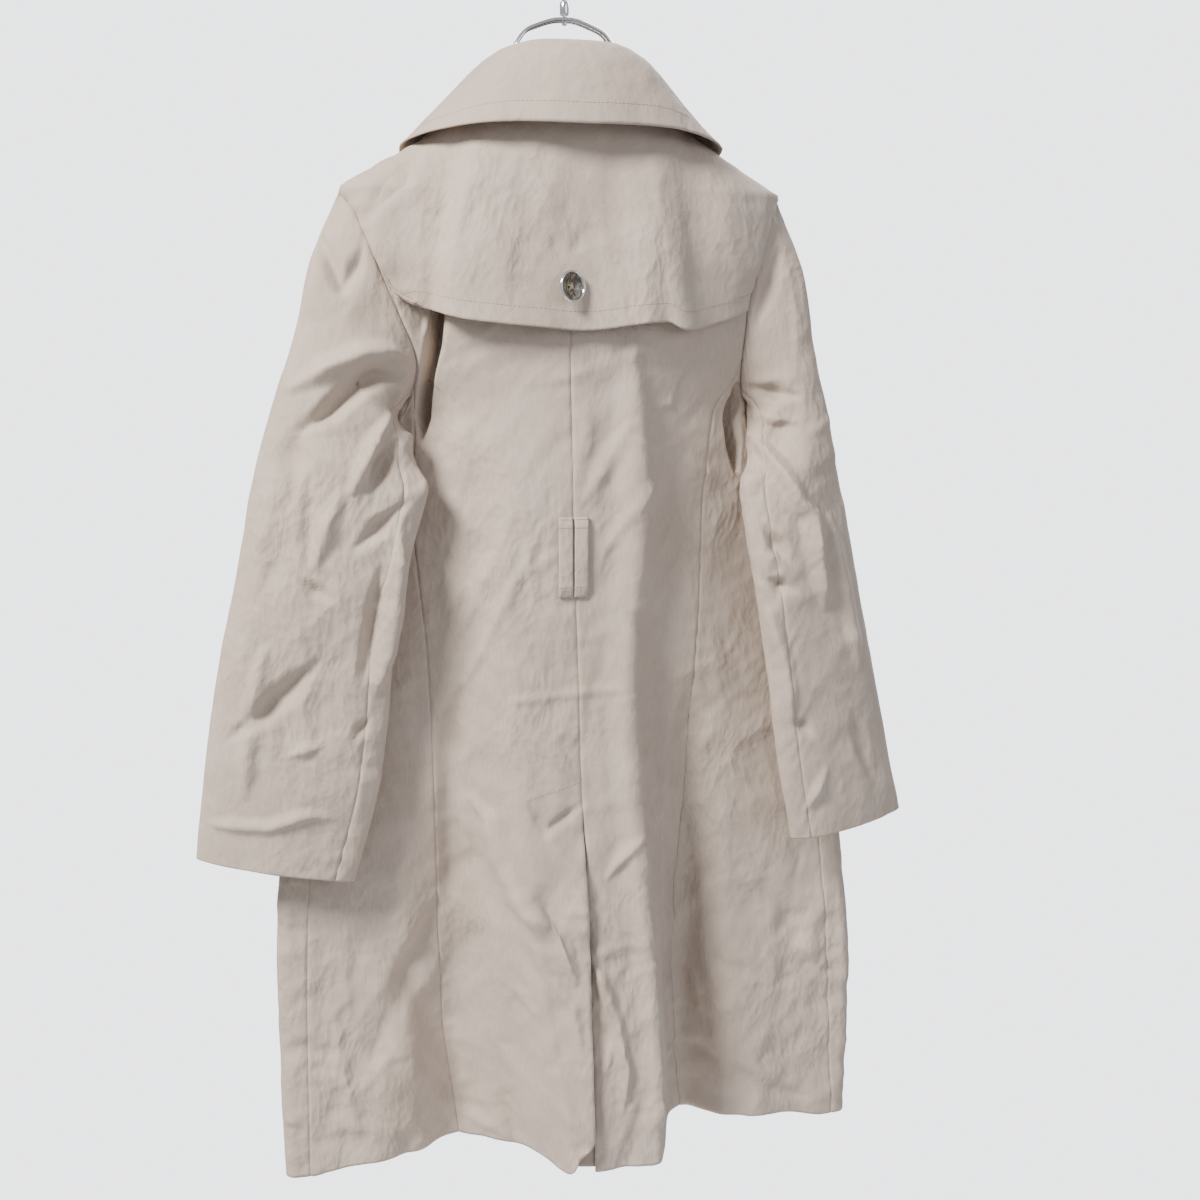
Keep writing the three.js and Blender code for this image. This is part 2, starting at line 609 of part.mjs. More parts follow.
function sleeveNormal(side, angle, along) {
  if (along < 1e-6) {
    const wrapped = ((angle % 360) + 360) % 360;
    const face = wrapped <= 180 ? -1 : 1;
    const cosine = Math.cos(radians(wrapped));
    return new THREE.Vector3(0, face * Math.sqrt(Math.max(0, 1 - cosine * cosine)), cosine);
  }
  const step = 0.01;
  const low = Math.max(along - step, 0);
  const high = Math.min(along + step, sleeveRings.left.length);
  const round = sleevePoint(side, angle + 1, along).sub(sleevePoint(side, angle - 1, along));
  const down = sleevePoint(side, angle, high).sub(sleevePoint(side, angle, low));
  return round.cross(down).normalize().multiplyScalar(side);
}

function sleevePanel(side, from, to) {
  const last = sleeveRings.left.length;
  const inset = (edge, along) =>
    seamGap / sleevePoint(side, edge, along).distanceTo(sleevePoint(side, edge + 1, along));
  return wall((to - from) / ringStep, 16, (u, v) => {
    const along = last * (side > 0 ? v : 1 - v);
    const edgeShift = u === 0 ? inset(from, along) : u === 1 ? -inset(to, along) : 0;
    const angle = mix(from, to, u) + edgeShift;
    const point = sleevePoint(side, angle, along);
    const normal = sleeveNormal(side, angle, along);
    return { point, back: point.clone().addScaledVector(normal, -cloth) };
  });
}

// ---- Belt loops ----
const loop = { top: -464, length: 65, width: 11.5, rise: 3.2, ends: 8 };

function beltLoop(middleX) {
  const rows = 8;
  return wall(2, rows, (u, v) => {
    const z = loop.top - loop.length * (1 - v);
    const x = middleX + (u - 0.5) * loop.width;
    const ring = ringAt(x, z);
    const normal = bodyNormal(ring, z);
    const fromEnd = Math.min(z - (loop.top - loop.length), loop.top - z);
    const off = 1.6 + layerGap + loop.rise * smooth(0, loop.ends, fromEnd);
    const point = bodyPoint(ring, z).addScaledVector(normal, off);
    return { point, back: point.clone().addScaledVector(normal, -1.6) };
  });
}

// ---- Buttons ----
const rimFoot = 1.6; // the rim's foot is this much narrower all round than its widest ring

// Profiles turn about the button's own axis, from its seat at 0 up to its face.
function buttonRim() {
  const outer = buttonWidth / 2;
  const bore = outer - 4.2;
  const profile = [
    [bore, 0.4],
    [outer - rimFoot, 0],
    [outer, buttonHeight * 0.45],
    [outer - 0.7, buttonHeight - 0.5],
    [outer - 2.2, buttonHeight],
    [bore, buttonHeight - 1.6],
    [bore, 0.4],
  ].map(([radius, height]) => new THREE.Vector2(radius, height));
  return new THREE.LatheGeometry(profile, buttonSides);
}

function buttonHorn() {
  const edge = buttonWidth / 2 - 4.2 - seamGap;
  const profile = [
    [0, 0.8],
    [edge, 0.8],
    [edge, buttonHeight - 1.9],
    [edge * 0.55, buttonHeight - 2.8],
    [0, buttonHeight - 3.1],
  ].map(([radius, height]) => new THREE.Vector2(radius, height));
  return new THREE.LatheGeometry(profile, buttonSides);
}

// ---- Hanger ----
const hook = { radius: 19, wire: 1.9, shaftLow: -62.1 };
const wire = { radius: 1.6, humpTop: -76, humpHalf: 34, humpLow: -88, split: 3.7 };

function tube(points, radius, sides, steps) {
  const section = new THREE.Shape();
  for (let i = 0; i < sides; i += 1) {
    const angle = (2 * Math.PI * i) / sides;
    const corner = [radius * Math.cos(angle), radius * Math.sin(angle)];
    if (i === 0) section.moveTo(...corner);
    else section.lineTo(...corner);
  }
  const path = new THREE.CatmullRomCurve3(points.map((p) => new THREE.Vector3(...p)), false, "centripetal");
  return new THREE.ExtrudeGeometry(section, { steps, bevelEnabled: false, extrudePath: path });
}

function hookTube() {
  const middle = hook.radius;
  const centreZ = hook.wire - middle;
  const points = [
    [0, 0, hook.shaftLow],
    [0, 0, -50],
    [3, 0, -41],
  ];
  for (let degrees = -30; degrees <= 200; degrees += 23) {
    points.push([middle * Math.cos(radians(degrees)), 0, centreZ + middle * Math.sin(radians(degrees))]);
  }
  return tube(points, hook.wire, 8, 40);
}

// One shoulder wire: over the hump in the middle and down just under the shoulder cloth.
function shoulderWire(face) {
  const under = cloth + layerGap + wire.radius;
  const arm = (side) =>
    [-164, -174, -184, -194].map((z) => {
      const ring = face < 0 ? side * 0.86 : side * 1.14;
      return bodyPoint(ring, z).addScaledVector(bodyNormal(ring, z), -under).toArray();
    });
  const throughNeck = (side) => [side * 55, face * 8, neckPoint.z];
  const hump = [-1, -0.62, 0, 0.62, 1].map((share) => [
    share * wire.humpHalf,
    face * wire.split,
    mix(wire.humpTop, wire.humpLow, Math.abs(share) ** 2),
  ]);
  const route = [...arm(-1).reverse(), throughNeck(-1), ...hump, throughNeck(1), ...arm(1)];
  return tube(route, wire.radius, 6, 52);
}

function ferrule() {
  const profile = [
    [0, -80],
    [1.7, -80],
    [1.7, -72.6],
    [3.2, -72.4],
    [3.6, -71],
    [3.6, -64],
    [3, -62.4],
    [0, -62.4],
  ].map(([radius, height]) => new THREE.Vector2(radius, height));
  return new THREE.LatheGeometry(profile, 16).rotateX(quarter);
}

// ---- Materials ----
const finish = (color, roughness, metalness = 0) => ({ color, roughness, metalness });
const cotton = finish(0xb9aea4, 0.85);
const chrome = finish(0xd8d9db, 0.18, 1);
const horn = finish(0x4b4335, 0.4);

// ---- Assembly ----
const coat = new THREE.Group();

function add(name, geometry, look) {
  const mesh = new THREE.Mesh(geometry, new THREE.MeshStandardMaterial(look));
  mesh.name = name;
  coat.add(mesh);
  return mesh;
}

for (const side of [-1, 1]) {
  const name = side < 0 ? "left" : "right";
  add(`back_${name}`, backPanel(side), cotton);
  add(`side_back_${name}`, sideBackPanel(side), cotton);
  add(`front_${name}`, frontPanel(side), cotton);
  add(`lapel_${name}`, lapelPanel(side), cotton);
  add(`upper_sleeve_${name}`, sleevePanel(side, frontSleeveSeam - 360, backSleeveSeam), cotton);
  add(`under_sleeve_${name}`, sleevePanel(side, backSleeveSeam, frontSleeveSeam), cotton);
}
add("vent_underlap", ventUnderlap(), cotton);
add("storm_flap", stormFlap(), cotton);
add("collar_stand", collarWall(standPoint, standEnd, 18, 1, 1), cotton);
add("collar_fall", collarWall(fallPoint, fallEnd, 24, 5, -1), cotton);

const loopSpread = 12.6;
const loopMiddle = rowValue(seamRows, "z", "centre", loop.top) - 0.2;
add("belt_loop_left", beltLoop(loopMiddle - loopSpread / 2), cotton);
add("belt_loop_right", beltLoop(loopMiddle + loopSpread / 2), cotton);

// A button is sewn at a point of the cloth, its face turned along the cloth's normal.
function addButton(name, point, normal, seat) {
  const turn = new THREE.Quaternion().setFromUnitVectors(new THREE.Vector3(0, 1, 0), normal);
  for (const [suffix, geometry, look] of [
    ["rim", buttonRim(), chrome],
    ["horn", buttonHorn(), horn],
  ]) {
    const mesh = add(`${name}_${suffix}`, geometry, look);
    mesh.quaternion.copy(turn);
    mesh.position.copy(point).addScaledVector(normal, seat);
  }
}

// The flap's button hangs from its thread and leans on its right-hand edge.
const flapButton = { x: -12, z: -285, seat: 0.7, lean: 20 };
const flapButtonAt = [ringAt(flapButton.x, flapButton.z), flapButton.z];
const onFlap = flapNormal(...flapButtonAt);
const leaning = onFlap.clone().applyAxisAngle(new THREE.Vector3(0, 0, 1), radians(flapButton.lean));
const leanLift = (buttonWidth / 2 - rimFoot) * Math.sin(radians(flapButton.lean));
const flapButtonPoint = flapPoint(...flapButtonAt).addScaledVector(onFlap, leanLift);
addButton("flap_button", flapButtonPoint, leaning, flapButton.seat);

const frontButtons = { first: -455, spacing: 112, count: 4, seat: 0.1 };
for (let i = 0; i < frontButtons.count; i += 1) {
  const z = frontButtons.first - i * frontButtons.spacing;
  const point = bodyPoint(2, z);
  point.y += frontLift(2, z);
  addButton(`front_button_${i + 1}`, point, new THREE.Vector3(0, 1, 0), frontButtons.seat);
}

add("hanger_hook", hookTube(), chrome);
add("hanger_ferrule", ferrule(), chrome);
add("hanger_wire_near", shoulderWire(-1), chrome);
add("hanger_wire_far", shoulderWire(1), chrome);

export default coat;
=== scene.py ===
import bpy
import bmesh
import math
import numpy as np
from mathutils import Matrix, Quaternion, Vector


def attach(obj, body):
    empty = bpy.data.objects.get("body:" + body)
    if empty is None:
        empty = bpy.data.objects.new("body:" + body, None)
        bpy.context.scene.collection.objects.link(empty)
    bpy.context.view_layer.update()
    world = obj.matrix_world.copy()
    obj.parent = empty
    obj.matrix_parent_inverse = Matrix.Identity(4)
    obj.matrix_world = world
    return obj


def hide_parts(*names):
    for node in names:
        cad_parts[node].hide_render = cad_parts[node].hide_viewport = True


# A cotton trench coat on a double wire hanger, seen from its back.
# The tables below are in millimetres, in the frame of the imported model: +Z up, the coat's
# back towards -Y. Left and right are as seen from behind: left at -X, right at +X. Meshes
# are made in metres.

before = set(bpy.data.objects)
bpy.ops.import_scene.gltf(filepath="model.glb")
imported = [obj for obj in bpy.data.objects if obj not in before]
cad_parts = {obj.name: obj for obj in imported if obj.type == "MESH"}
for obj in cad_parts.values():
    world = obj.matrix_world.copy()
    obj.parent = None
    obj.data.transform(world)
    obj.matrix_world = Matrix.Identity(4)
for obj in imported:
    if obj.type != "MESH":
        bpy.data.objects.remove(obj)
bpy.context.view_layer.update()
bpy.ops.object.select_all(action="DESELECT")

millimetre = 0.001
quarter = math.pi / 2


form = {
    "hem": -1030.0, "ventTop": -690.0, "breakPoint": -430.0, "armpit": -386.0,
    "shoulderX": 178.0, "shoulderZ": -209.0, "neckX": 66.0, "neckZ": -142.0,
    "sideTurn": 0.07, "hemLift": 12.0, "overlap": 34.0, "rollTop": 60.0,
}
armholeMiddle = (form["shoulderZ"] + form["armpit"]) / 2
armholeHalf = form["shoulderZ"] - armholeMiddle
princessTop = armholeMiddle + armholeHalf * math.cos(math.radians(120))

bodyRings = {
    "z": [-1030, -900, -790, -700, -600, -500, -430, -404, -386, -346, -305, -266, -226, -209, -142],
    "left": [237, 239, 236, 226, 207, 174, 142, 140.5, 134, 124, 138, 154, 169, 178, 66],
    "right": [250, 252, 243, 230, 210, 180, 153, 154.5, 150, 145, 146, 155, 169, 178, 66],
    "back": [14, 18, 25, 31, 38, 46, 52, 53.6, 55, 57, 58, 58, 56, 55, 50],
    "front": [58, 56, 54, 52, 50, 48, 47, 46.4, 46, 46, 46, 46, 45, 44, 44],
    "edge": [11, 11, 11, 10, 9, 8, 7, 6.5, 6, 19, 28, 28, 15, 0, 0],
    "curve": [1.5, 1.5, 1.5, 1.5, 1.5, 1.5, 1.4, 1.35, 1.3, 1.15, 1, 0.8, 0.6, 0.5, 0.5],
}
backBulge = {
    "z": [-1030, -960, -900, -820, -720, -620, -500, -400, -330],
    "leftFoot": [-54, -64, -74, -86, -102, -112, -120, -120, -120],
    "leftCrest": [-6, -16, -26, -34, -42, -48, -60, -60, -60],
    "rightCrest": [58, 58, 56, 50, 40, 34, 44, 40, 38],
    "rightFoot": [96, 94, 90, 84, 76, 70, 82, 84, 84],
    "rise": [66, 62, 54, 43, 30, 18, 9, 3, 0],
}
# top x, top z, low x, low z, reach, rise, open at the hem
backFolds = [
    (-112, -600, -98, -1030, 44, -26, True), (98, -560, 110, -1030, 38, -27, True),
    (-150, -760, -170, -1030, 34, 9, True), (150, -800, 176, -1030, 32, 8, True),
    (40, -340, 46, -560, 24, 6, False), (-70, -360, -88, -620, 26, -5, False),
    (-78, -690, -14, -880, 16, 5, False),
]
frontFolds = [
    (-110, -520, -140, -1030, 46, 15, True), (96, -560, 128, -1030, 44, 14, True),
    (-80, -640, -84, -1030, 34, -11, True), (82, -700, 84, -1030, 30, -9, True),
    (190, -760, 200, -1030, 26, 7, True),
]
seamRows = {
    "z": [-1030, -940, -850, -690, -580, -460, -386, princessTop, -142],
    "centre": [5, 4, 4, 0, -2, -6, -7, -8, -6],
    "left": [-97, -106, -112, -117, -121, -130, -126, -126, -126],
    "right": [107, 101, 99, 102, 106, 112, 120, 144, 144],
    "leftSide": [-228, -227, -225, -214, -199, -158, -144, -144, -144],
    "rightSide": [246, 242, 236, 219, 204, 168, 155, 155, 155],
}
flapHem = {
    "x": [-139, -114, -86, -32, 0, 49, 66, 79, 118, 146],
    "z": [-305, -301, -307, -315, -318, -312, -311, -316, -310, -301],
    "standOff": [3, 11, 18, 12, 5, 13, 9, 13, 5, 0],
}
collarRows = {
    "angle": [0, 25, 50, 75, 95, 115, 135],
    "standRise": [41, 41, 38, 34, 31, 19, 8],
    "fallOut": [33, 34, 47, 65, 71, 72, 68],
    "fallDrop": [66, 65, 63, 65, 67, 84, 106],
    "neckDip": [0, 0, 0, 0, 0, 0, 9],
}
# outer x y z, inner x y z, half depth, from the armhole to the cuff
sleeveRings = {
    -1: [
        (-203, -10, -262, -136, -18, -398, 30), (-219, -20, -322, -132, -27, -415, 27),
        (-240, -26, -385, -127, -37, -435, 24), (-255, -28, -438, -126, -46, -457, 24),
        (-269, -28, -505, -137, -51, -500, 23), (-284, -28, -572, -149, -48, -556, 21),
        (-295, -28, -630, -155, -46, -624, 19), (-303, -27, -687, -167, -44, -692, 17),
        (-309, -26, -733, -186, -42, -757, 15),
    ],
    1: [
        (200, -10, -270, 157, -9, -400, 23), (211, -15, -340, 154, -18, -413, 22),
        (223, -18, -396, 149, -32, -432, 23), (231, -18, -440, 141, -46, -457, 24),
        (242, -18, -490, 143, -58, -496, 24), (258, -18, -563, 152, -58, -545, 22),
        (273, -18, -625, 162, -56, -612, 20), (289, -17, -693, 174, -54, -688, 18),
        (300, -16, -737, 187, -50, -748, 16),
    ],
}
# degrees round, place along, reach round, reach along, rise
sleeveFolds = {
    -1: [(130, 2.6, 42, 0.5, -9), (88, 3.1, 34, 0.6, 6), (60, 1.5, 30, 0.8, -5), (100, 6.6, 36, 0.8, -5)],
    1: [(128, 2.4, 40, 0.45, -8), (96, 3.4, 32, 0.7, 5), (92, 5.2, 34, 0.7, -5)],
}


def smooth(start, end, at):
    t = np.clip((np.asarray(at, float) - start) / (end - start), 0, 1)
    return t * t * (3 - 2 * t)


def rowValue(table, name, at, key="z"):
    # a column of a table between its rows, without overshoot
    places = np.array(table[key], float)
    values = np.array(table[name], float)
    if places[0] > places[-1]:
        places, values = places[::-1], values[::-1]
    slopes = np.diff(values) / np.diff(places)
    tangents = np.empty_like(values)
    tangents[0], tangents[-1] = slopes[0], slopes[-1]
    product = slopes[:-1] * slopes[1:]
    total = slopes[:-1] + slopes[1:]
    total[total == 0] = 1
    tangents[1:-1] = np.where(product <= 0, 0, 2 * product / total)
    at = np.clip(np.asarray(at, float), places[0], places[-1])
    low = np.clip(np.searchsorted(places, at, side="right") - 1, 0, len(places) - 2)
    span = places[low + 1] - places[low]
    t = (at - places[low]) / span
    t2, t3 = t * t, t * t * t
    return (
        (2 * t3 - 3 * t2 + 1) * values[low] + (t3 - 2 * t2 + t) * span * tangents[low]
        + (3 * t2 - 2 * t3) * values[low + 1] + (t3 - t2) * span * tangents[low + 1]
    )


def turned(z):
    return 1 - smooth(form["armpit"], -366, z)


def flatWidth(side, z):
    up = np.clip((z - form["shoulderZ"]) / (form["neckZ"] - form["shoulderZ"]), 0, 1)
    shoulder = form["shoulderX"] + (form["neckX"] - form["shoulderX"]) * up
    below = np.where(side < 0, rowValue(bodyRings, "left", z), rowValue(bodyRings, "right", z))
    return np.where(z > form["shoulderZ"], shoulder, below)


def foldRise(folds, x, z):
    rise = np.zeros_like(x)
    for topX, topZ, lowX, lowZ, reach, height, isOpen in folds:
        along = (topZ - z) / (topZ - lowZ)
        across = (x - (topX + (lowX - topX) * np.clip(along, 0, 1))) / reach
        inReach = (along > 0) & (np.abs(across) < 1) & ((along <= 1) | isOpen)
        if isOpen:
            strength = smooth(0, 0.85, along)
        else:
            strength = np.sin(math.pi * np.clip(along, 0, 1)) ** 2
        rise += np.where(inReach, height * strength * np.cos(np.clip(across, -1, 1) * quarter) ** 2, 0)
    return rise


def bulgeRise(x, z):
    left = smooth(rowValue(backBulge, "leftFoot", z), rowValue(backBulge, "leftCrest", z), x)
    right = smooth(rowValue(backBulge, "rightCrest", z), rowValue(backBulge, "rightFoot", z), x)
    return rowValue(backBulge, "rise", z) * left * (1 - right)


def bodyPoint(ring, z):
    # ring is 0 at the centre back, 1 at the right side, 2 at the centre front, minus on the left
    ring, z = np.broadcast_arrays(np.asarray(ring, float), np.asarray(z, float))
    side = np.where(ring < 0, -1.0, 1.0)
    onBack = np.abs(ring) <= 1
    toSide = np.where(onBack, np.abs(ring), 2 - np.abs(ring))
    flat = flatWidth(side, z)
    edge = np.where(z > form["shoulderZ"], 0, rowValue(bodyRings, "edge", z))
    turn = form["sideTurn"] * turned(z)
    face = np.where(onBack, -1.0, 1.0)
    across = np.sin(quarter * np.minimum(toSide / (1 - turn), 1))
    depth = np.where(onBack, rowValue(bodyRings, "back", z), rowValue(bodyRings, "front", z))
    curve = rowValue(bodyRings, "curve", z)
    x = side * flat * across
    folds = np.where(onBack, foldRise(backFolds, x, z) + bulgeRise(x, z), foldRise(frontFolds, x, z))
    full = np.maximum(0, 1 - across * across) ** curve
    y = face * (edge + (depth - edge) * full + folds * (1 - np.abs(across) ** 6))
    round_ = toSide > 1 - turn
    angle = quarter * turned(z) * (toSide - 1 + turn) / np.maximum(turn, 1e-9)
    x = np.where(round_, side * (flat + edge * np.sin(angle)), x)
    y = np.where(round_, face * edge * np.cos(angle), y)
    lift = form["hemLift"] * (1 - smooth(0.4, 0.75, toSide)) * (1 - smooth(form["hem"], -900, z))
    return np.stack([x, y, z + lift], -1)


def armholeNormal(degrees):
    turn = np.radians(degrees)
    face = np.where(np.asarray(degrees) % 360 <= 180, -1.0, 1.0)
    return np.stack([np.zeros_like(turn), face * np.abs(np.sin(turn)), np.cos(turn)], -1)


def unit(vectors):
    return vectors / np.maximum(np.linalg.norm(vectors, axis=-1, keepdims=True), 1e-9)


def bodyNormal(ring, z):
    ring, z = np.broadcast_arrays(np.asarray(ring, float), np.asarray(z, float))
    isOpen = (z > form["armpit"]) & (z < form["shoulderZ"])
    onBack = np.abs(ring) <= 1

    def limited(value):
        size = np.abs(value)
        kept = np.where(onBack, np.minimum(size, 1), np.maximum(size, 1 + 1e-7))
        return np.where(isOpen, np.where(value < 0, -kept, kept), value)

    alongRing = bodyPoint(limited(ring + 2e-3), z) - bodyPoint(limited(ring - 2e-3), z)
    normal = unit(np.cross(alongRing, bodyPoint(ring, z + 0.6) - bodyPoint(ring, z - 0.6)))
    cosine = np.clip((z - armholeMiddle) / armholeHalf, -1, 1)
    face = np.where(onBack, -1.0, 1.0)
    atSeam = np.stack([np.zeros_like(z), face * np.sqrt(1 - cosine * cosine), cosine], -1)
    atArmhole = isOpen & (np.abs(np.abs(ring) - 1) < 1e-6)
    return np.where(atArmhole[..., None], atSeam, normal)


def ringAt(x, z):
    x, z = np.broadcast_arrays(np.asarray(x, float), np.asarray(z, float))
    side = np.where(x < 0, -1.0, 1.0)
    flat = flatWidth(side, z)
    edge = np.maximum(rowValue(bodyRings, "edge", z), 1e-6)
    turn = form["sideTurn"] * turned(z)
    size = np.abs(x)
    onFlat = side * np.arcsin(np.clip(size / flat, 0, 1)) * (1 - turn) / quarter
    reach = np.clip((size - flat) / edge, 0, 1)
    onTurn = side * (1 - turn + turn * np.arcsin(reach) / (quarter * np.maximum(turned(z), 1e-6)))
    return np.where(size <= flat, onFlat, onTurn)


def frontRing(side, x, z):
    across = np.clip(side * x / flatWidth(np.full_like(z, side), z), -1, 1)
    return side * (2 - np.arcsin(across) * (1 - form["sideTurn"] * turned(z)) / quarter)


def rollLine(z):
    up = np.clip((z - form["breakPoint"]) / (form["neckZ"] - form["breakPoint"]), 0, 1)
    return -form["overlap"] + (form["rollTop"] + form["overlap"]) * up


def frontLift(ring, z, x):
    crossing = smooth(-560, -440, z) * (1 - smooth(-330, -250, z))
    high = 1 - smooth(-330, -250, z) * 0.999
    return np.where(ring < 0, 0, (4.9 + 4 * crossing) * (1 - smooth(52, 96, x)) * high)



def armholePoint(side, degrees):
    z = armholeMiddle + armholeHalf * np.cos(np.radians(degrees))
    ring = np.where(degrees <= 180, side, side * (1 + 1e-7))
    point = bodyPoint(ring, z)
    point[..., 0] += side * 0.3
    return point


def sleeveStation(side, station, degrees):
    if station <= 0:
        return armholePoint(side, degrees)
    row = sleeveRings[side][min(station, len(sleeveRings[side])) - 1]
    outer, inner, depth = np.array(row[:3], float), np.array(row[3:6], float), row[6]
    half, middle = (outer - inner) / 2, (outer + inner) / 2
    across = np.array([side * half[1], -side * half[0], 0])
    across /= np.linalg.norm(across)
    turn = np.radians(degrees)[..., None]
    return middle + half * np.cos(turn) + across * depth * np.sin(turn)


def sleeveSurface(side, degrees, along):
    last = len(sleeveRings[side])
    stations = [sleeveStation(side, i, degrees) for i in range(last + 1)]
    stacked = np.stack(stations, 0)
    low = np.clip(np.floor(along).astype(int), 0, last - 1)
    t = (along - low)[..., None]
    nearest = [np.clip(low + step, 0, last)[None, ..., None] for step in (-1, 0, 1, 2)]
    a, b, c, d = [np.take_along_axis(stacked, index, 0)[0] for index in nearest]
    bend = (2 * a - 5 * b + 4 * c - d) * t * t
    return 0.5 * (2 * b + (c - a) * t + bend + (3 * b - a - 3 * c + d) * t**3)


def sleevePoint(side, degrees, along):
    degrees, along = np.broadcast_arrays(np.asarray(degrees, float) % 360, np.asarray(along, float))
    point = sleeveSurface(side, degrees, along)
    rise = np.zeros_like(degrees)
    for angle, place, angleReach, alongReach, height in sleeveFolds[side]:
        rise += height * np.exp(-((degrees - angle) / angleReach) ** 2 - ((along - place) / alongReach) ** 2)
    zero = np.zeros_like(degrees)
    middle = (sleeveSurface(side, zero, along) + sleeveSurface(side, zero + 180, along)) / 2
    out = point - middle
    out[..., 0] *= 0.2  # a fold moves the cloth forwards and back more than sideways
    return point + unit(out) * rise[..., None]


def sleeveNormal(side, degrees, along):
    degrees, along = np.broadcast_arrays(np.asarray(degrees, float), np.asarray(along, float))
    roundIt = sleevePoint(side, degrees + 1, along) - sleevePoint(side, degrees - 1, along)
    lower = sleevePoint(side, degrees, np.minimum(along + 0.02, len(sleeveRings[side])))
    normal = unit(np.cross(roundIt, lower - sleevePoint(side, degrees, np.maximum(along - 0.02, 0)))) * side
    return np.where((along < 1e-6)[..., None], armholeNormal(degrees), normal)


def collarOut(degrees):
    turn = np.radians(degrees)
    return np.stack([np.sin(turn), -np.cos(turn), np.zeros_like(turn)], -1)


def collarFold(degrees):
    size = np.abs(degrees)
    turn = np.radians(degrees)
    depth = np.where(size < 90, 50, 44)
    low = form["neckZ"] - rowValue(collarRows, "neckDip", size, "angle")
    seam = np.stack([form["neckX"] * np.sin(turn), -depth * np.cos(turn), low], -1)
    fold = seam - 3 * collarOut(degrees)
    fold[..., 2] += rowValue(collarRows, "standRise", size, "angle")
    return seam, fold


def fallPoint(degrees, down):
    # down is 0 at the fold and 1 at the edge; below 0 the cloth rolls over into the neck
    size = np.abs(degrees)
    over = np.maximum(down, 0)
    fallOut = rowValue(collarRows, "fallOut", size, "angle")
    fallDrop = rowValue(collarRows, "fallDrop", size, "angle")
    aside = smooth(30, 75, size)
    roll = (9 - 5 * aside) * np.sin(math.pi * over) * (1 - over)
    reach = fallOut * (0.25 * np.sin(quarter * over) + 0.75 * over) * (1 - aside)
    reach += fallOut * (0.85 * over + 0.15 * over * over) * aside
    drop = fallDrop * (0.7 * over + 0.3 * over * over) * (1 - aside)
    drop += fallDrop * (0.92 * over + 0.08 * over * over) * aside
    behind = np.maximum(-down, 0)
    turn = np.minimum(behind / 0.04, 1) * quarter
    deeper = np.maximum(behind - 0.04, 0) * 90
    sideways = reach + roll * 0.6 - 2 - 1.7 * np.sin(turn)
    upwards = 2.3 + roll * 0.9 - drop - 1.7 * (1 - np.cos(turn)) - deeper
    point = collarFold(degrees)[1] + collarOut(degrees) * sideways[..., None]
    point[..., 2] += upwards
    return point


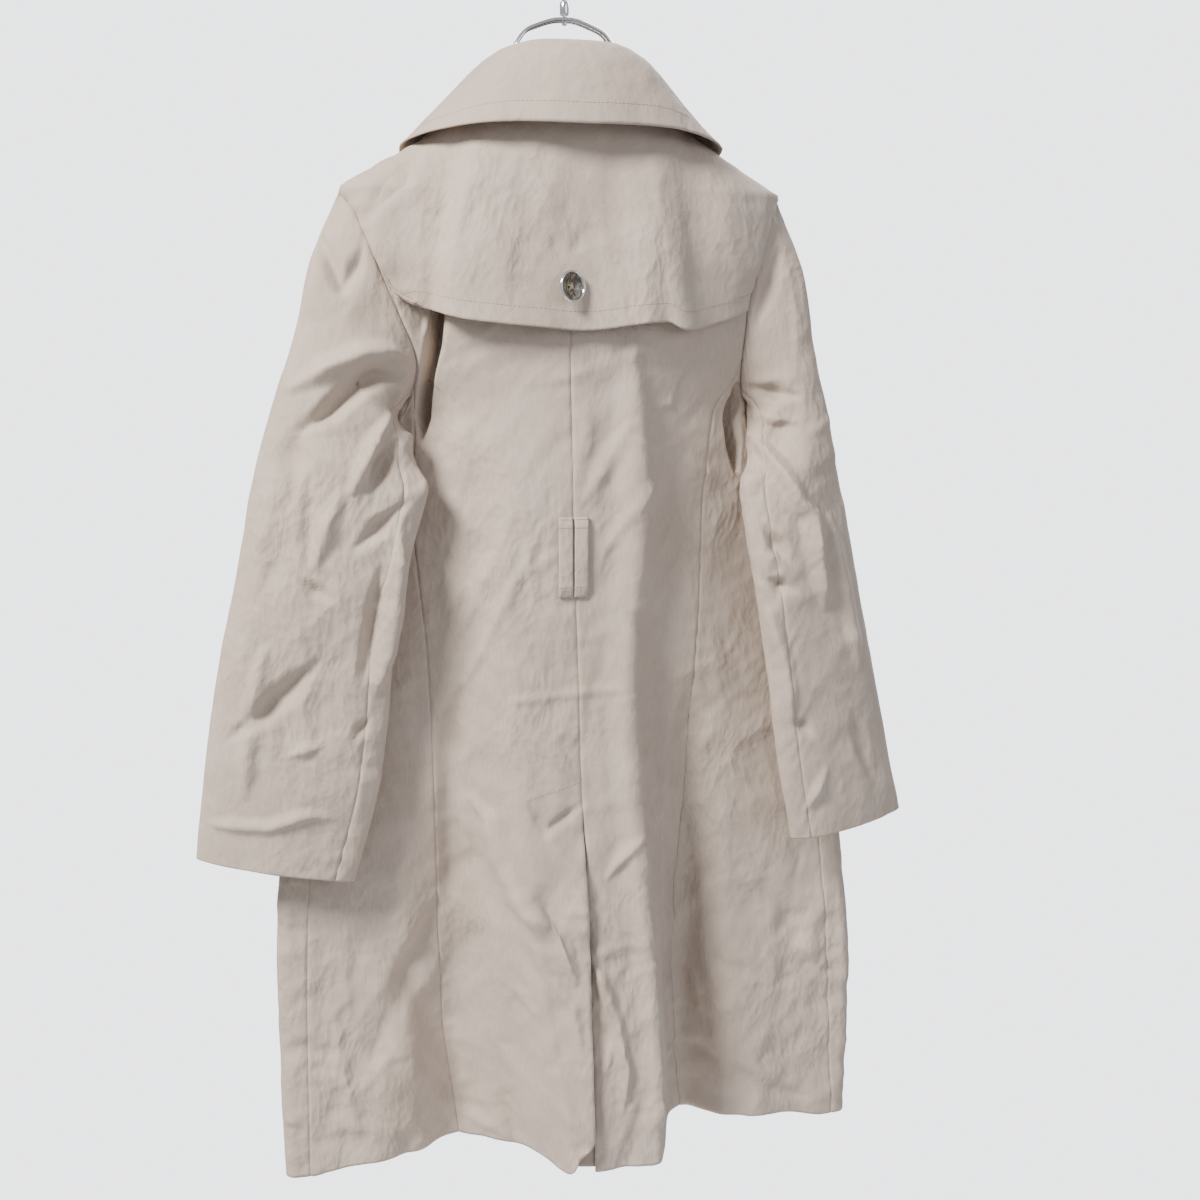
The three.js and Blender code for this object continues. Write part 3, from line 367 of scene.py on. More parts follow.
# Each crease runs through its points (x, z), with its half width and its rise: soft troughs
# are below zero and ridges above. sharp is the share of its width that the crest takes.
creases = {
    "back": [
        ([(42, -329), (44, -356), (50, -452), (47, -509), (40, -550), (39, -609), (44, -677), (50, -746),
          (58, -793), (62, -841), (66, -899), (66, -950), (64, -1013)], 22, 5.5, 0.35),
        ([(101, -618), (98, -680), (100, -765), (104, -842), (106, -921)], 20, -4.0, 0.6),
        ([(-94, -606), (-104, -633), (-106, -687), (-104, -743), (-103, -794)], 14, -4.0, 0.4),
        ([(-87, -698), (-74, -715), (-68, -749), (-50, -785), (-25, -810), (-9, -849)], 14, 6.2, 0.12),
        ([(-98, -725), (-82, -765), (-60, -810), (-38, -850)], 14, -3.2, 0.4),
        ([(-48, -634), (-24, -659), (2, -684)], 12, 2.4, 0.3),
        ([(-30, -725), (8, -779)], 12, 2.6, 0.3),
        ([(-62, -614), (-14, -609), (4, -608), (38, -606)], 7, 1.3, 0.2),
        ([(-68, -777), (-65, -846), (-62, -918), (-47, -950), (-34, -1009)], 13, 5.4, 0.12),
        ([(6, -832), (26, -884), (34, -930), (30, -965)], 9, 4.0, 0.15),
        ([(20, -765), (48, -732)], 8, 3.2, 0.15),
        ([(-44, -700), (-30, -722), (2, -700)], 7, -2.4, 0.2),
        ([(-30, -845), (-12, -872), (-6, -905)], 9, 3.0, 0.2),
        ([(-172, -800), (-128, -880), (-96, -960)], 26, -4.4, 0.3),
        ([(-60, -480), (-96, -560)], 9, 1.5, 0.15),
        ([(-30, -470), (-92, -600)], 8, 1.4, 0.15),
        ([(60, -430), (16, -500)], 8, 1.5, 0.15),
        ([(84, -470), (50, -540)], 8, 1.4, 0.15),
        ([(-64, -849), (-37, -882)], 9, 2.4, 0.3),
        ([(-112, -793), (-153, -881), (-190, -949)], 22, -5.5, 0.5),
        ([(-163, -900), (-127, -955)], 12, 3.0, 0.25),
        ([(-203, -897), (-198, -926), (-185, -999), (-180, -1013)], 13, 3.4, 0.3),
        ([(90, -950), (126, -963), (158, -982), (192, -1000), (220, -1011)], 14, -3.6, 0.35),
        ([(199, -850), (244, -890)], 12, 3.4, 0.25),
        ([(191, -817), (211, -867)], 22, -4.5, 0.5),
        ([(222, -885), (240, -896)], 9, 2.2, 0.3),
        ([(108, -874), (119, -899), (125, -923)], 10, 2.2, 0.3),
        ([(39, -391), (22, -420), (4, -452)], 12, 2.4, 0.3),
        ([(49, -381), (86, -375)], 5, 1.0, 0.2),
        ([(37, -401), (52, -409), (87, -409)], 5, 1.0, 0.2),
    ],
    "besideArmhole": [
        ([(-109, -262), (-114, -330), (-121, -402)], 7, -14.0, 0.2),
        ([(-108, -250), (-110, -300), (-114, -352)], 9, -12.0, 0.5),
        ([(143, -362), (139, -392), (146, -432)], 9, -13.0, 0.3),
    ],
    "front": [
        ([(-120, -500), (-112, -640), (-128, -800), (-140, -960)], 20, 4.5, 0.35),
        ([(104, -520), (100, -660), (118, -820), (126, -980)], 20, 4.5, 0.35),
        ([(-60, -620), (-90, -700), (-84, -820)], 15, -3.4, 0.4),
        ([(66, -690), (92, -760), (90, -870)], 15, -3.2, 0.4),
        ([(-180, -700), (-150, -790), (-170, -900)], 14, 3.0, 0.3),
        ([(190, -720), (160, -800), (178, -930)], 14, 3.0, 0.3),
        ([(-150, -560), (-90, -600)], 10, 2.0, 0.25),
        ([(150, -600), (90, -570)], 10, 2.0, 0.25),
        ([(-70, -860), (-30, -930), (-40, -1000)], 12, 2.8, 0.3),
        ([(70, -900), (40, -960)], 12, 2.4, 0.3),
        ([(-200, -930), (-150, -985)], 12, 2.6, 0.3),
        ([(205, -900), (170, -990)], 12, 2.6, 0.3),
        ([(-110, -300), (-90, -380), (-100, -450)], 14, 2.4, 0.35),
        ([(112, -300), (92, -370), (98, -440)], 14, 2.2, 0.35),
    ],
    "leftSleeve": [
        ([(-222, -362), (-196, -348), (-168, -336), (-146, -335), (-128, -342)], 13, 7.5, 0.3),
        ([(-216, -392), (-192, -376), (-172, -358), (-156, -352), (-138, -354)], 12, -9.0, 0.35),
        ([(-214, -384), (-222, -410), (-226, -442)], 16, -4.5, 0.6),
        ([(-146, -376), (-136, -392), (-122, -402)], 8, -9.0, 0.3),
        ([(-146, -376), (-140, -364)], 6, -4.0, 0.4),
        ([(-150, -384), (-166, -410), (-180, -440)], 10, 6.0, 0.3),
        ([(-146, -404), (-158, -424), (-166, -440)], 11, -6.5, 0.5),
        ([(-202, -238), (-190, -264), (-181, -285), (-169, -268), (-160, -250)], 11, -4.6, 0.25),
        ([(-142, -453), (-160, -467), (-178, -482)], 11, -5.5, 0.4),
        ([(-221, -508), (-210, -516), (-199, -523)], 9, -3.5, 0.4),
        ([(-211, -497), (-189, -440)], 12, 5.0, 0.3),
        ([(-212, -430), (-215, -502)], 9, -3.6, 0.35),
        ([(-210, -572), (-234, -597), (-276, -631)], 13, -5.5, 0.4),
        ([(-236, -647), (-209, -639)], 8, 3.6, 0.25),
        ([(-144, -469), (-150, -525), (-157, -569), (-165, -599)], 12, 6.5, 0.25),
        ([(-160, -500), (-168, -550), (-176, -590)], 10, -4.4, 0.4),
        ([(-171, -621), (-184, -636)], 8, -3.8, 0.4),
        ([(-298, -702), (-252, -705), (-220, -696), (-202, -700)], 8, 3.2, 0.25),
        ([(-250, -560), (-262, -620), (-270, -680)], 12, 3.8, 0.3),
        ([(-240, -440), (-256, -520)], 14, 3.2, 0.4),
    ],
    "rightSleeve": [
        ([(152, -364), (162, -366), (187, -371)], 9, -6.4, 0.35),
        ([(150, -384), (166, -388), (186, -392)], 8, 4.2, 0.3),
        ([(156, -402), (165, -423), (183, -457), (193, -466), (197, -499), (208, -544)], 12, 7.4, 0.25),
        ([(153, -478), (171, -503)], 11, -6.4, 0.4),
        ([(153, -519), (177, -528)], 10, -5.4, 0.4),
        ([(158, -545), (172, -590), (180, -640)], 10, 4.2, 0.3),
        ([(184, -640), (199, -654)], 8, -3.8, 0.4),
        ([(196, -719), (213, -686)], 8, 3.5, 0.3),
        ([(176, -253), (154, -310)], 12, -3.8, 0.5),
        ([(214, -470), (232, -540), (246, -600)], 12, 3.5, 0.35),
        ([(240, -640), (262, -700)], 12, -3.5, 0.4),
    ],
    "sleeveFront": [
        ([(-222, -396), (-196, -412), (-160, -404)], 14, 3.2, 0.3),
        ([(-232, -462), (-200, -492), (-172, -476)], 14, -3.0, 0.4),
        ([(-270, -560), (-230, -620), (-220, -690)], 12, 4.2, 0.3),
        ([(-200, -540), (-180, -600)], 10, 3.4, 0.3),
        ([(212, -404), (194, -424), (172, -412)], 14, 3.2, 0.3),
        ([(226, -482), (200, -504), (176, -492)], 14, -3.0, 0.4),
        ([(262, -580), (240, -640), (236, -700)], 12, 4.2, 0.3),
        ([(200, -560), (190, -620)], 10, 3.4, 0.3),
    ],
    "flap": [
        ([(-162, -234), (-142, -206), (-118, -176)], 15, -3.4, 0.3),
        ([(92, -170), (98, -230), (106, -300), (110, -345)], 30, -2.6, 0.6),
        ([(-52, -190), (-66, -250), (-70, -300)], 26, 1.6, 0.6),
        ([(-20, -180), (-30, -240)], 20, 1.2, 0.5),
        ([(20, -170), (30, -230), (36, -300)], 18, -1.4, 0.5),
        ([(-15, -264), (-24, -244)], 6, -1.4, 0.3),
        ([(-9, -264), (3, -241)], 6, -1.4, 0.3),
    ],
}


creaseStrength = 1.5
# long folds between two flat planes: heights z, places x, reach to the left and right, rise
planeFolds = [
    ((-345, -302, -255, -205, -160), (-128, -122, -114, -104, -94), 42, 16, -13.0),
    ((-345, -318, -262, -215, -165), (78, 75, 69, 62, 56), 44, 22, 6.0),
]


def planeRise(x, z):
    rise = np.zeros_like(x)
    for heights, places, toLeft, toRight, height in planeFolds:
        aside = x - np.interp(z, heights, places)
        share = np.clip(1 - np.where(aside < 0, -aside / toLeft, aside / toRight), 0, 1)
        rise += height * share * smooth(-160, -205, z)
    return rise


def creaseRise(x, z, lines):
    rise = np.zeros_like(x)
    for points, reach, height, sharp in lines:
        near = np.full_like(x, 1e9)
        along = np.zeros_like(x)
        lengths = [math.dist(points[i], points[i + 1]) for i in range(len(points) - 1)]
        total, done = sum(lengths), 0.0
        for (startX, startZ), (endX, endZ), length in zip(points[:-1], points[1:], lengths):
            stepX, stepZ = (endX - startX) / length, (endZ - startZ) / length
            t = np.clip((x - startX) * stepX + (z - startZ) * stepZ, 0, length)
            distance = np.hypot(x - startX - t * stepX, z - startZ - t * stepZ)
            closer = distance < near
            near = np.where(closer, distance, near)
            along = np.where(closer, (done + t) / total, along)
            done += length
        tip = np.clip(np.minimum(along, 1 - along) * total / min(total * 0.45, 2.2 * reach), 0, 1)
        share = near / (reach * (0.45 + 0.55 * tip))
        blunt = sharp * 0.55
        crest = np.sqrt(share * share + blunt * blunt) - blunt
        profile = np.clip(1 - crest / (math.sqrt(1 + blunt * blunt) - blunt), 0, 1)
        profile = 0.65 * profile**1.8 + 0.35 * profile * profile * (3 - 2 * profile)
        rise += height * creaseStrength * profile * (0.25 + 0.75 * tip)
    return rise


def crumple(x, z, seed, box, count, size, height, lean=0.0):
    # many small pressed creases with flat flanks, as crumpled cotton has
    rng = np.random.default_rng(seed)
    rise = np.zeros_like(x)
    for _ in range(count):
        middleX, middleZ = rng.uniform(box[0], box[1]), rng.uniform(box[2], box[3])
        angle = rng.normal(lean, 0.6) + rng.choice([0.35, 0.35, -0.5, 1.45])
        length = size * rng.uniform(0.8, 2.6)
        reach = size * rng.uniform(0.22, 0.5)
        tall = height * rng.uniform(0.3, 1.0) * rng.choice([-0.8, 1.0])
        bend = rng.uniform(-0.25, 0.25)
        dx, dz = x - middleX, z - middleZ
        along = (dx * math.sin(angle) + dz * math.cos(angle)) / length
        across = (dx * math.cos(angle) - dz * math.sin(angle)) / reach + bend * along * along * 3
        inside = (np.abs(along) < 1) & (np.abs(across) < 1)
        if not inside.any():
            continue
        ridge = 1 - (np.sqrt(across * across + 0.02) - 0.14) / 0.87
        window = np.clip(1 - along * along, 0, 1)
        rise += np.where(inside, tall * np.clip(ridge, 0, 1) * window * window, 0)
    return rise


def swell(x, z, seed, scale, height):
    # slow unevenness of cloth that has hung and been folded
    rng = np.random.default_rng(seed)
    rise = np.zeros_like(x)
    for octave in range(5):
        wave = scale * 0.62**octave
        for _ in range(3):
            angle, shift = rng.uniform(0, math.pi), rng.uniform(0, 6.28)
            rise += np.sin((x * math.cos(angle) + z * math.sin(angle)) * 6.283 / wave + shift) * 0.62**octave
    return rise * height / 3


cotton = {"wall": 1.3, "seamDip": 0.9, "seamReach": 1.2, "pucker": 0.7, "puckerReach": 14.0}
panels = {}


def gridNormals(points):
    alongColumns = np.gradient(points, axis=0)
    alongRows = np.gradient(points, axis=1)
    return unit(np.cross(alongColumns, alongRows))


def edgeDistances(points):
    # distance along the cloth from the first and last column and the first and last row
    stepC = np.linalg.norm(np.diff(points, axis=0), axis=-1)
    fromFirst = np.concatenate([np.zeros((1, points.shape[1])), np.cumsum(stepC, 0)], 0)
    stepR = np.linalg.norm(np.diff(points, axis=1), axis=-1)
    fromLow = np.concatenate([np.zeros((points.shape[0], 1)), np.cumsum(stepR, 1)], 1)
    return fromFirst, fromFirst[-1:] - fromFirst, fromLow, fromLow[:, -1:] - fromLow


def seamRise(points, seams):
    # the cloth dips into each seam and puckers beside it
    first, last, low, high = edgeDistances(points)
    rise = np.zeros(points.shape[:2])
    edges = (("first", first, low), ("last", last, low), ("low", low, first), ("high", high, first))
    for name, distance, run in edges:
        if name not in seams:
            continue
        dip = np.exp(-(distance / cotton["seamReach"]) ** 2)
        wave = np.sin(run / 2.9 + 1.3 * np.sin(run / 17.0)) * np.sin(run / 23.0 + 0.7)
        fade = np.exp(-(distance / cotton["puckerReach"]) ** 2) * (1 - dip)
        rise += -cotton["seamDip"] * dip + cotton["pucker"] * seams[name] * wave * fade
    return rise


def freeEdges(points, seams):
    # creases fade where a piece is sewn to another that doesn't share them
    first, last, low, high = edgeDistances(points)
    fade = np.ones(points.shape[:2])
    for name, distance in (("first", first), ("last", last), ("low", low), ("high", high)):
        if name in seams:
            fade *= smooth(0, 14, distance)
    return fade


def meshFrom(name, points, material):
    # a thin closed shell whose outer face is the grid of points
    columns, rows = points.shape[0], points.shape[1]
    first, _, low, _ = edgeDistances(points)
    cut = np.stack([first - first.mean(), low], -1) * millimetre
    index = np.arange(columns * rows).reshape(columns, rows)
    a, b = index[:-1, :-1].ravel(), index[1:, :-1].ravel()
    c, d = index[1:, 1:].ravel(), index[:-1, 1:].ravel()
    faces = np.stack([a, b, c, d], -1)
    mesh = bpy.data.meshes.new(name)
    mesh.from_pydata((points * millimetre).reshape(-1, 3).tolist(), [], faces.tolist())
    layer = mesh.uv_layers.new(name="cut")
    layer.data.foreach_set("uv", cut.reshape(-1, 2)[faces.ravel()].astype(np.float32).ravel())
    mesh.materials.append(material)
    mesh.shade_smooth()
    piece = bpy.data.objects.new(name, mesh)
    bpy.context.collection.objects.link(piece)
    bpy.context.view_layer.objects.active = piece
    wall = piece.modifiers.new("wall", "SOLIDIFY")
    wall.thickness = cotton["wall"] * millimetre
    wall.offset = -1
    wall.use_even_offset = False
    bpy.ops.object.modifier_apply(modifier="wall")
    return piece


def panel(name, points, rise, seams, fadeSeams=(), normals=None):
    normals = gridNormals(points) if normals is None else normals
    offset = rise * freeEdges(points, fadeSeams) + seamRise(points, seams)
    shaped = points + normals * offset[..., None]
    panels[name] = shaped
    return shaped


def measured(name):
    # widest row and longest column in millimetres, and one side's area in square metres
    points = panels[name]
    first, last, low, high = edgeDistances(points)
    corner = points[:-1, :-1]
    areas = np.linalg.norm(np.cross(points[1:, :-1] - corner, points[:-1, 1:] - corner), axis=-1)
    return round((first + last).max()), round((low + high).max()), round(areas.sum() / 1e6, 4)



def toLinear(hexColour):
    values = [int(hexColour[i:i + 2], 16) / 255 for i in (0, 2, 4)]
    return tuple(v / 12.92 if v <= 0.04045 else ((v + 0.055) / 1.055) ** 2.4 for v in values) + (1.0,)


def addNode(material, kind, settings=None, links=None):
    # settings go to sockets, to the node's own fields or to a ramp's stops, links to sockets
    node = material.node_tree.nodes.new(kind)
    for key, value in (settings or {}).items():
        if key == "stops":
            for _ in value[2:]:
                node.color_ramp.elements.new(0.5)
            for element, (place, colour) in zip(node.color_ramp.elements, value):
                element.position, element.color = place, colour
        elif isinstance(key, int) or key in node.inputs:
            node.inputs[key].default_value = value
        else:
            setattr(node, key, value)
    for key, output in (links or {}).items():
        material.node_tree.links.new(output, node.inputs[key])
    return node


def newMaterial(name, settings):
    material = bpy.data.materials.new(name)
    material.use_nodes = True
    shader = material.node_tree.nodes["Principled BSDF"]
    for key, value in settings.items():
        shader.inputs[key].default_value = value
    return material, shader


def grey(level):
    return level, level, level, 1


def gabardine(name, shade, seed):
    # cotton gabardine, woven as a steep twill and washed: matt, with a faint fuzz that lifts
    # grazing light and a slightly uneven stone dye
    material, shader = newMaterial(name, {
        "Roughness": 0.86, "Specular IOR Level": 0.28, "Sheen Weight": 0.12, "Sheen Roughness": 0.45})
    link = material.node_tree.links.new
    cut = addNode(material, "ShaderNodeUVMap", {"uv_map": "cut"}).outputs["UV"]
    place = addNode(material, "ShaderNodeTexCoord").outputs["Object"]
    # cloudy dye, 60 mm and 12 mm patches
    cloud = addNode(
        material, "ShaderNodeTexNoise", {"Scale": 16.0, "Detail": 3.0, "Roughness": 0.55}, {"Vector": place})
    base = addNode(material, "ShaderNodeValToRGB", {
        "stops": [(0.28, toLinear(shade[0])), (0.72, toLinear(shade[1]))]}, {0: cloud.outputs["Fac"]})
    # slubs in the yarn, 0.5 mm thick and 12 mm long, drawn at 1.2 mm so that they show
    slubCut = addNode(
        material, "ShaderNodeMapping", {"Scale": (820.0, 80.0, 1.0), "Location": (seed, 0, 0)},
        {"Vector": cut})
    slub = addNode(
        material, "ShaderNodeTexNoise", {"Scale": 1.0, "Detail": 2.0}, {"Vector": slubCut.outputs["Vector"]})
    slubShade = addNode(material, "ShaderNodeValToRGB", {
        "stops": [(0.3, grey(0.93)), (0.7, grey(1.05))]}, {0: slub.outputs["Fac"]})
    mixed = addNode(
        material, "ShaderNodeMix", {"data_type": "RGBA", "blend_type": "MULTIPLY", 0: 1.0},
        {6: base.outputs["Color"], 7: slubShade.outputs["Color"]})
    link(mixed.outputs[2], shader.inputs["Base Color"])
    # twill lines, 0.6 mm apart in the cloth, drawn 1.4 mm apart so that they show
    twillCut = addNode(
        material, "ShaderNodeMapping", {"Rotation": (0, 0, math.radians(63))}, {"Vector": cut})
    twill = addNode(
        material, "ShaderNodeTexWave", {"Scale": 225.0, "Distortion": 0.6, "Detail": 1.0},
        {"Vector": twillCut.outputs["Vector"]})
    # fine crumple of washed cotton, about 7 mm from crest to crest
    fine = addNode(
        material, "ShaderNodeTexNoise", {"Scale": 95.0, "Detail": 4.0, "Roughness": 0.6, "Distortion": 0.7},
        {"Vector": place})
    twillBump = addNode(
        material, "ShaderNodeBump", {"Strength": 0.10, "Distance": 0.0003}, {"Height": twill.outputs["Fac"]})
    fineBump = addNode(
        material, "ShaderNodeBump", {"Strength": 0.3, "Distance": 0.0018},
        {"Height": fine.outputs["Fac"], "Normal": twillBump.outputs["Normal"]})
    # pressed creases: flat facets 20 to 50 mm wide that meet in sharp straight lines, in patches
    drift = addNode(material, "ShaderNodeTexNoise", {"Scale": 11.0, "Detail": 2.0}, {"Vector": place})
    warped = addNode(
        material, "ShaderNodeMix", {"data_type": "RGBA", "blend_type": "LINEAR_LIGHT", 0: 0.022},
        {6: place, 7: drift.outputs["Color"]})
    leaning = addNode(
        material, "ShaderNodeMapping", {"Rotation": (0, math.radians(-38), 0), "Scale": (1.25, 1.0, 0.7)},
        {"Vector": warped.outputs[2]})
    facets = addNode(
        material, "ShaderNodeTexVoronoi",
        {"Scale": 27.0, "Detail": 2.0, "Roughness": 0.55, "Lacunarity": 2.3},
        {"Vector": leaning.outputs["Vector"]})
    patches = addNode(material, "ShaderNodeTexNoise", {"Scale": 6.5, "Detail": 2.0}, {"Vector": place})
    patchShare = addNode(material, "ShaderNodeValToRGB", {
        "stops": [(0.40, grey(0.25)), (0.62, grey(1))]}, {0: patches.outputs["Fac"]})
    pressed = addNode(
        material, "ShaderNodeMath", {"operation": "MULTIPLY"},
        {0: facets.outputs["Distance"], 1: patchShare.outputs["Color"]})
    pressedBump = addNode(
        material, "ShaderNodeBump", {"Strength": 0.5, "Distance": 0.006},
        {"Height": pressed.outputs["Value"], "Normal": fineBump.outputs["Normal"]})
    link(pressedBump.outputs["Normal"], shader.inputs["Normal"])
    return material


# the same stone cloth in two copies: the darker second copy is painted shadow, for pieces that lie in shade
# under other cloth
clothShade = {"face": ("b1a294", "b9ab9e"), "shadow": ("9c8f83", "a4988c")}
cottonFace = gabardine("washed cotton gabardine", clothShade["face"], 3.0)
cottonPaintedShadow = gabardine("cotton gabardine, painted shadow copy", clothShade["shadow"], 7.0)


# rows this far apart, seed of the small folds, and how far the left edge of the vent stands off
bodyCut = {"spacing": 2.8, "seed": 11, "ventStand": 9, "ventReach": 36, "ventFull": -850}


def seamShares(columns, width):
    # shares across a piece, close together beside the seams at its two edges
    near = np.array([0.0, 0.8, 1.7, 3.0]) / width
    middle = np.linspace(near[-1], 1 - near[-1], columns - 5)[1:-1]
    return np.concatenate([near, middle, 1 - near[::-1]])[:, None]


def heights(low, high, spacing):
    return np.linspace(low, high, int(round((high - low) / spacing)) + 1)


frontButtons = {"first": -455.0, "spacing": 112.0, "count": 4, "seat": 0.1}
# where the cloth lies still: x, z, reach across, reach up and down
stillBack = [(-6.4, -496, 18, 40)]
buttonHeights = [frontButtons["first"] - frontButtons["spacing"] * i for i in range(frontButtons["count"])]
stillFront = [(0, height, 22, 22) for height in buttonHeights]


def stillness(x, z, places):
    still = np.ones_like(x)
    for middleX, middleZ, reachX, reachZ in places:
        still *= 1 - np.exp(-((x - middleX) / reachX) ** 4 - ((z - middleZ) / reachZ) ** 4)
    return still


# where small folds lie (lowest and highest x, then z), how many, and how they lean
smallFolds = {
    "body": {"box": (-260, 260, -1030, -200), "count": 300, "lean": 0.0},
    "leftSleeve": {"box": (-320, -110, -770, -200), "count": 80, "lean": 0.5},
    "rightSleeve": {"box": (110, 320, -770, -200), "count": 80, "lean": 0.5},
}
# folds of the skirt: count, size, height, lean
skirtBox = (-260, 260, -1030, -620)
skirtFolds = [(150, 34, 2.6 * 1.1, 0.2), (260, 15, 1.3 * 0.9, -0.3)]


def crumpled(x, z, seed, box, count, lean=0.0):
    large = crumple(x, z, seed, box, count, 30, 1.7, lean)
    return large + crumple(x, z, seed + 1, box, count * 2, 14, 0.7, lean)


def clothRise(points, normals, backLines, frontLines, seed, place="body"):
    x, z = points[..., 0], points[..., 2]
    folds = smallFolds[place]
    toFront = smooth(-0.35, 0.35, normals[..., 1])
    back = creaseRise(x, z, creases[backLines])
    back += crumpled(x, z, seed, folds["box"], folds["count"], folds["lean"])
    front = creaseRise(x, z, creases[frontLines])
    front += crumpled(x, z, seed + 2, folds["box"], folds["count"])
    rise = back * (1 - toFront) + front * toFront + swell(x, z, seed + 4, 150, 0.9)
    if place == "body":
        # sat on and packed, the skirt is the most creased
        for number, fold in enumerate(skirtFolds):
            rise += smooth(-640, -900, z) * crumple(x, z, seed + 5 + number, skirtBox, *fold)
        rise *= stillness(x, z, stillBack) * (1 - toFront) + stillness(x, z, stillFront) * toFront
    # at the sides the same folds run flatter, so the outline stays nearly straight
    rise *= 1 - 0.65 * smooth(0.66, 0.96, np.abs(normals[..., 0]))
    return rise


def bodyPanel(name, start, end, low, high, columns, seams, lift=None):
    z = heights(low, high, bodyCut["spacing"])
    share = seamShares(columns, columns * 2.4)
    startRing, endRing = start(z)[None, :], end(z)[None, :]
    ring = startRing + (endRing - startRing) * share
    zGrid = np.broadcast_to(z[None, :], ring.shape)
    points = bodyPoint(ring, zGrid)
    normals = bodyNormal(ring, zGrid)
    if lift is not None:
        points = points + normals * lift(ring, zGrid, points)[..., None]
    rise = clothRise(points, normals, "back", "front", bodyCut["seed"])
    # the cloth lies flat towards the armholes, where the sleeves are sewn in
    toArmhole = smooth(0, 13, np.abs(flatWidth(np.sign(ring), zGrid) - np.abs(points[..., 0])))
    besideArmhole = smooth(form["armpit"] - 16, form["armpit"], zGrid) * (zGrid < form["shoulderZ"])
    rise *= 1 - besideArmhole * (1 - toArmhole)
    behind = normals[..., 1] < 0
    rise += creaseRise(points[..., 0], points[..., 2], creases["besideArmhole"]) * behind
    underFlap = smooth(-350, -315, zGrid)
    rise += planeRise(points[..., 0], points[..., 2]) * behind * underFlap * toArmhole
    return panel(name, points, rise, seams, normals=normals)


def seamRing(column, side=0):
    def at(z):
        ring = ringAt(rowValue(seamRows, column, z), z)
        if column.endswith("Side"):
            ring = np.where(z >= form["armpit"], float(side), ring)
        return ring
    return at


def backEdge(side):
    column = "left" if side < 0 else "right"
    return lambda z: np.where(z > princessTop, float(side), seamRing(column)(z))


def ventRing(shift):
    # the centre seam, which moves aside within 60 mm below the top of the vent
    def at(z):
        opened = smooth(form["ventTop"], form["ventTop"] - 60, z)
        return ringAt(rowValue(seamRows, "centre", z) + shift * opened, z)
    return at


def frontEdge(side):
    return lambda z: frontRing(side, side * rollLine(z), z)


def frontSide(side):
    column = "leftSide" if side < 0 else "rightSide"
    return lambda z: np.where(z >= form["armpit"], side * (1 + 1e-7), seamRing(column, side)(z))


def liftOfFront(ring, z, points):
    return frontLift(ring, z, points[..., 0])


def besideCentre(aside):
    return lambda z: ringAt(rowValue(seamRows, "centre", z) + aside, z)


def liftOfVent(ring, z, points):
    fromEdge = rowValue(seamRows, "centre", z) - points[..., 0]
    low = smooth(form["ventTop"], bodyCut["ventFull"], z)
    return bodyCut["ventStand"] * low * (1 - smooth(0, bodyCut["ventReach"], fromEdge))


def liftOfUnderlap(ring, z, points):
    return -(2.5 + 3 * np.clip((12 - points[..., 0]) / 18, 0, 1) ** 2)


hem, neck, both = form["hem"], form["neckZ"], {"first": 0.6, "last": 0.6}
backLeft = bodyPanel(
    "back_left", backEdge(-1), ventRing(0), hem, neck, 84, {"first": 0.6, "last": 0.5}, liftOfVent)
bodyPanel("back_right", ventRing(1), backEdge(1), hem, neck, 84, {"first": 0.5, "last": 0.6})
bodyPanel("side_back_left", seamRing("leftSide", -1), seamRing("left"), hem, princessTop, 58, both)
bodyPanel("side_back_right", seamRing("right"), seamRing("rightSide", 1), hem, princessTop, 62, both)
bodyPanel("front_right", frontSide(1), frontEdge(1), hem, neck, 92, {"first": 0.6}, liftOfFront)
bodyPanel("front_left", frontEdge(-1), frontSide(-1), hem, neck, 92, {"last": 0.6}, liftOfFront)
bodyPanel(
    "vent_underlap", besideCentre(-34), besideCentre(20), hem + 4, form["ventTop"], 20, {}, liftOfUnderlap)
print("body panels shaped")


lapelCut = {"low": -406.0, "high": -216.0, "lowWidth": 5.0, "highWidth": 82.0, "peak": 12.0}


def lapelPanel(name, side):
    u = np.linspace(0, 1, 34)[:, None]
    v = np.linspace(0, 1, 70)[None, :]
    across = u if side < 0 else 1 - u
    z = lapelCut["low"] + (lapelCut["high"] - lapelCut["low"]) * v + lapelCut["peak"] * across * v
    width = lapelCut["lowWidth"] + (lapelCut["highWidth"] - lapelCut["lowWidth"]) * v**0.85
    x = rollLine(z) + across * width
    ring = frontRing(side, side * x, z)
    base = bodyPoint(ring, z)
    normals = gridNormals(base)
    off = 3.0 + 2.5 * np.sin(math.pi * across) + 2 * across + frontLift(ring, z, base[..., 0])
    points = base + normals * off[..., None]
    rise = swell(points[..., 0], points[..., 2], 31, 90, 0.7) + crumple(
        points[..., 0], points[..., 2], 32, (-150, 150, -420, -200), 90, 12, 0.5)
    return panel(name, points, rise, {})


lapelPanel("lapel_left", -1)
lapelPanel("lapel_right", 1)


sleeveCut = {"rows": 200, "upper": (-140, 140, 124), "under": (140, 220, 30), "seeds": {-1: 41, 1: 51}}


def sleevePanel(name, side, part):
    start, end, columns = sleeveCut[part]
    last = len(sleeveRings[side])
    degrees = start + (end - start) * seamShares(columns, columns * 2.9)
    rows = np.linspace(0, last, sleeveCut["rows"] + 1)[None, :]
    along = rows if side > 0 else last - rows
    points = sleevePoint(side, degrees, along)
    normals = sleeveNormal(side, degrees, along)
    place = "rightSleeve" if side > 0 else "leftSleeve"
    rise = clothRise(points, normals, place, "sleeveFront", sleeveCut["seeds"][side], place)
    atArmhole = "low" if side > 0 else "high"
    seams = {"first": 0.7, "last": 0.7, atArmhole: 1.0}
    return panel(name, points, rise, seams, [atArmhole], normals)


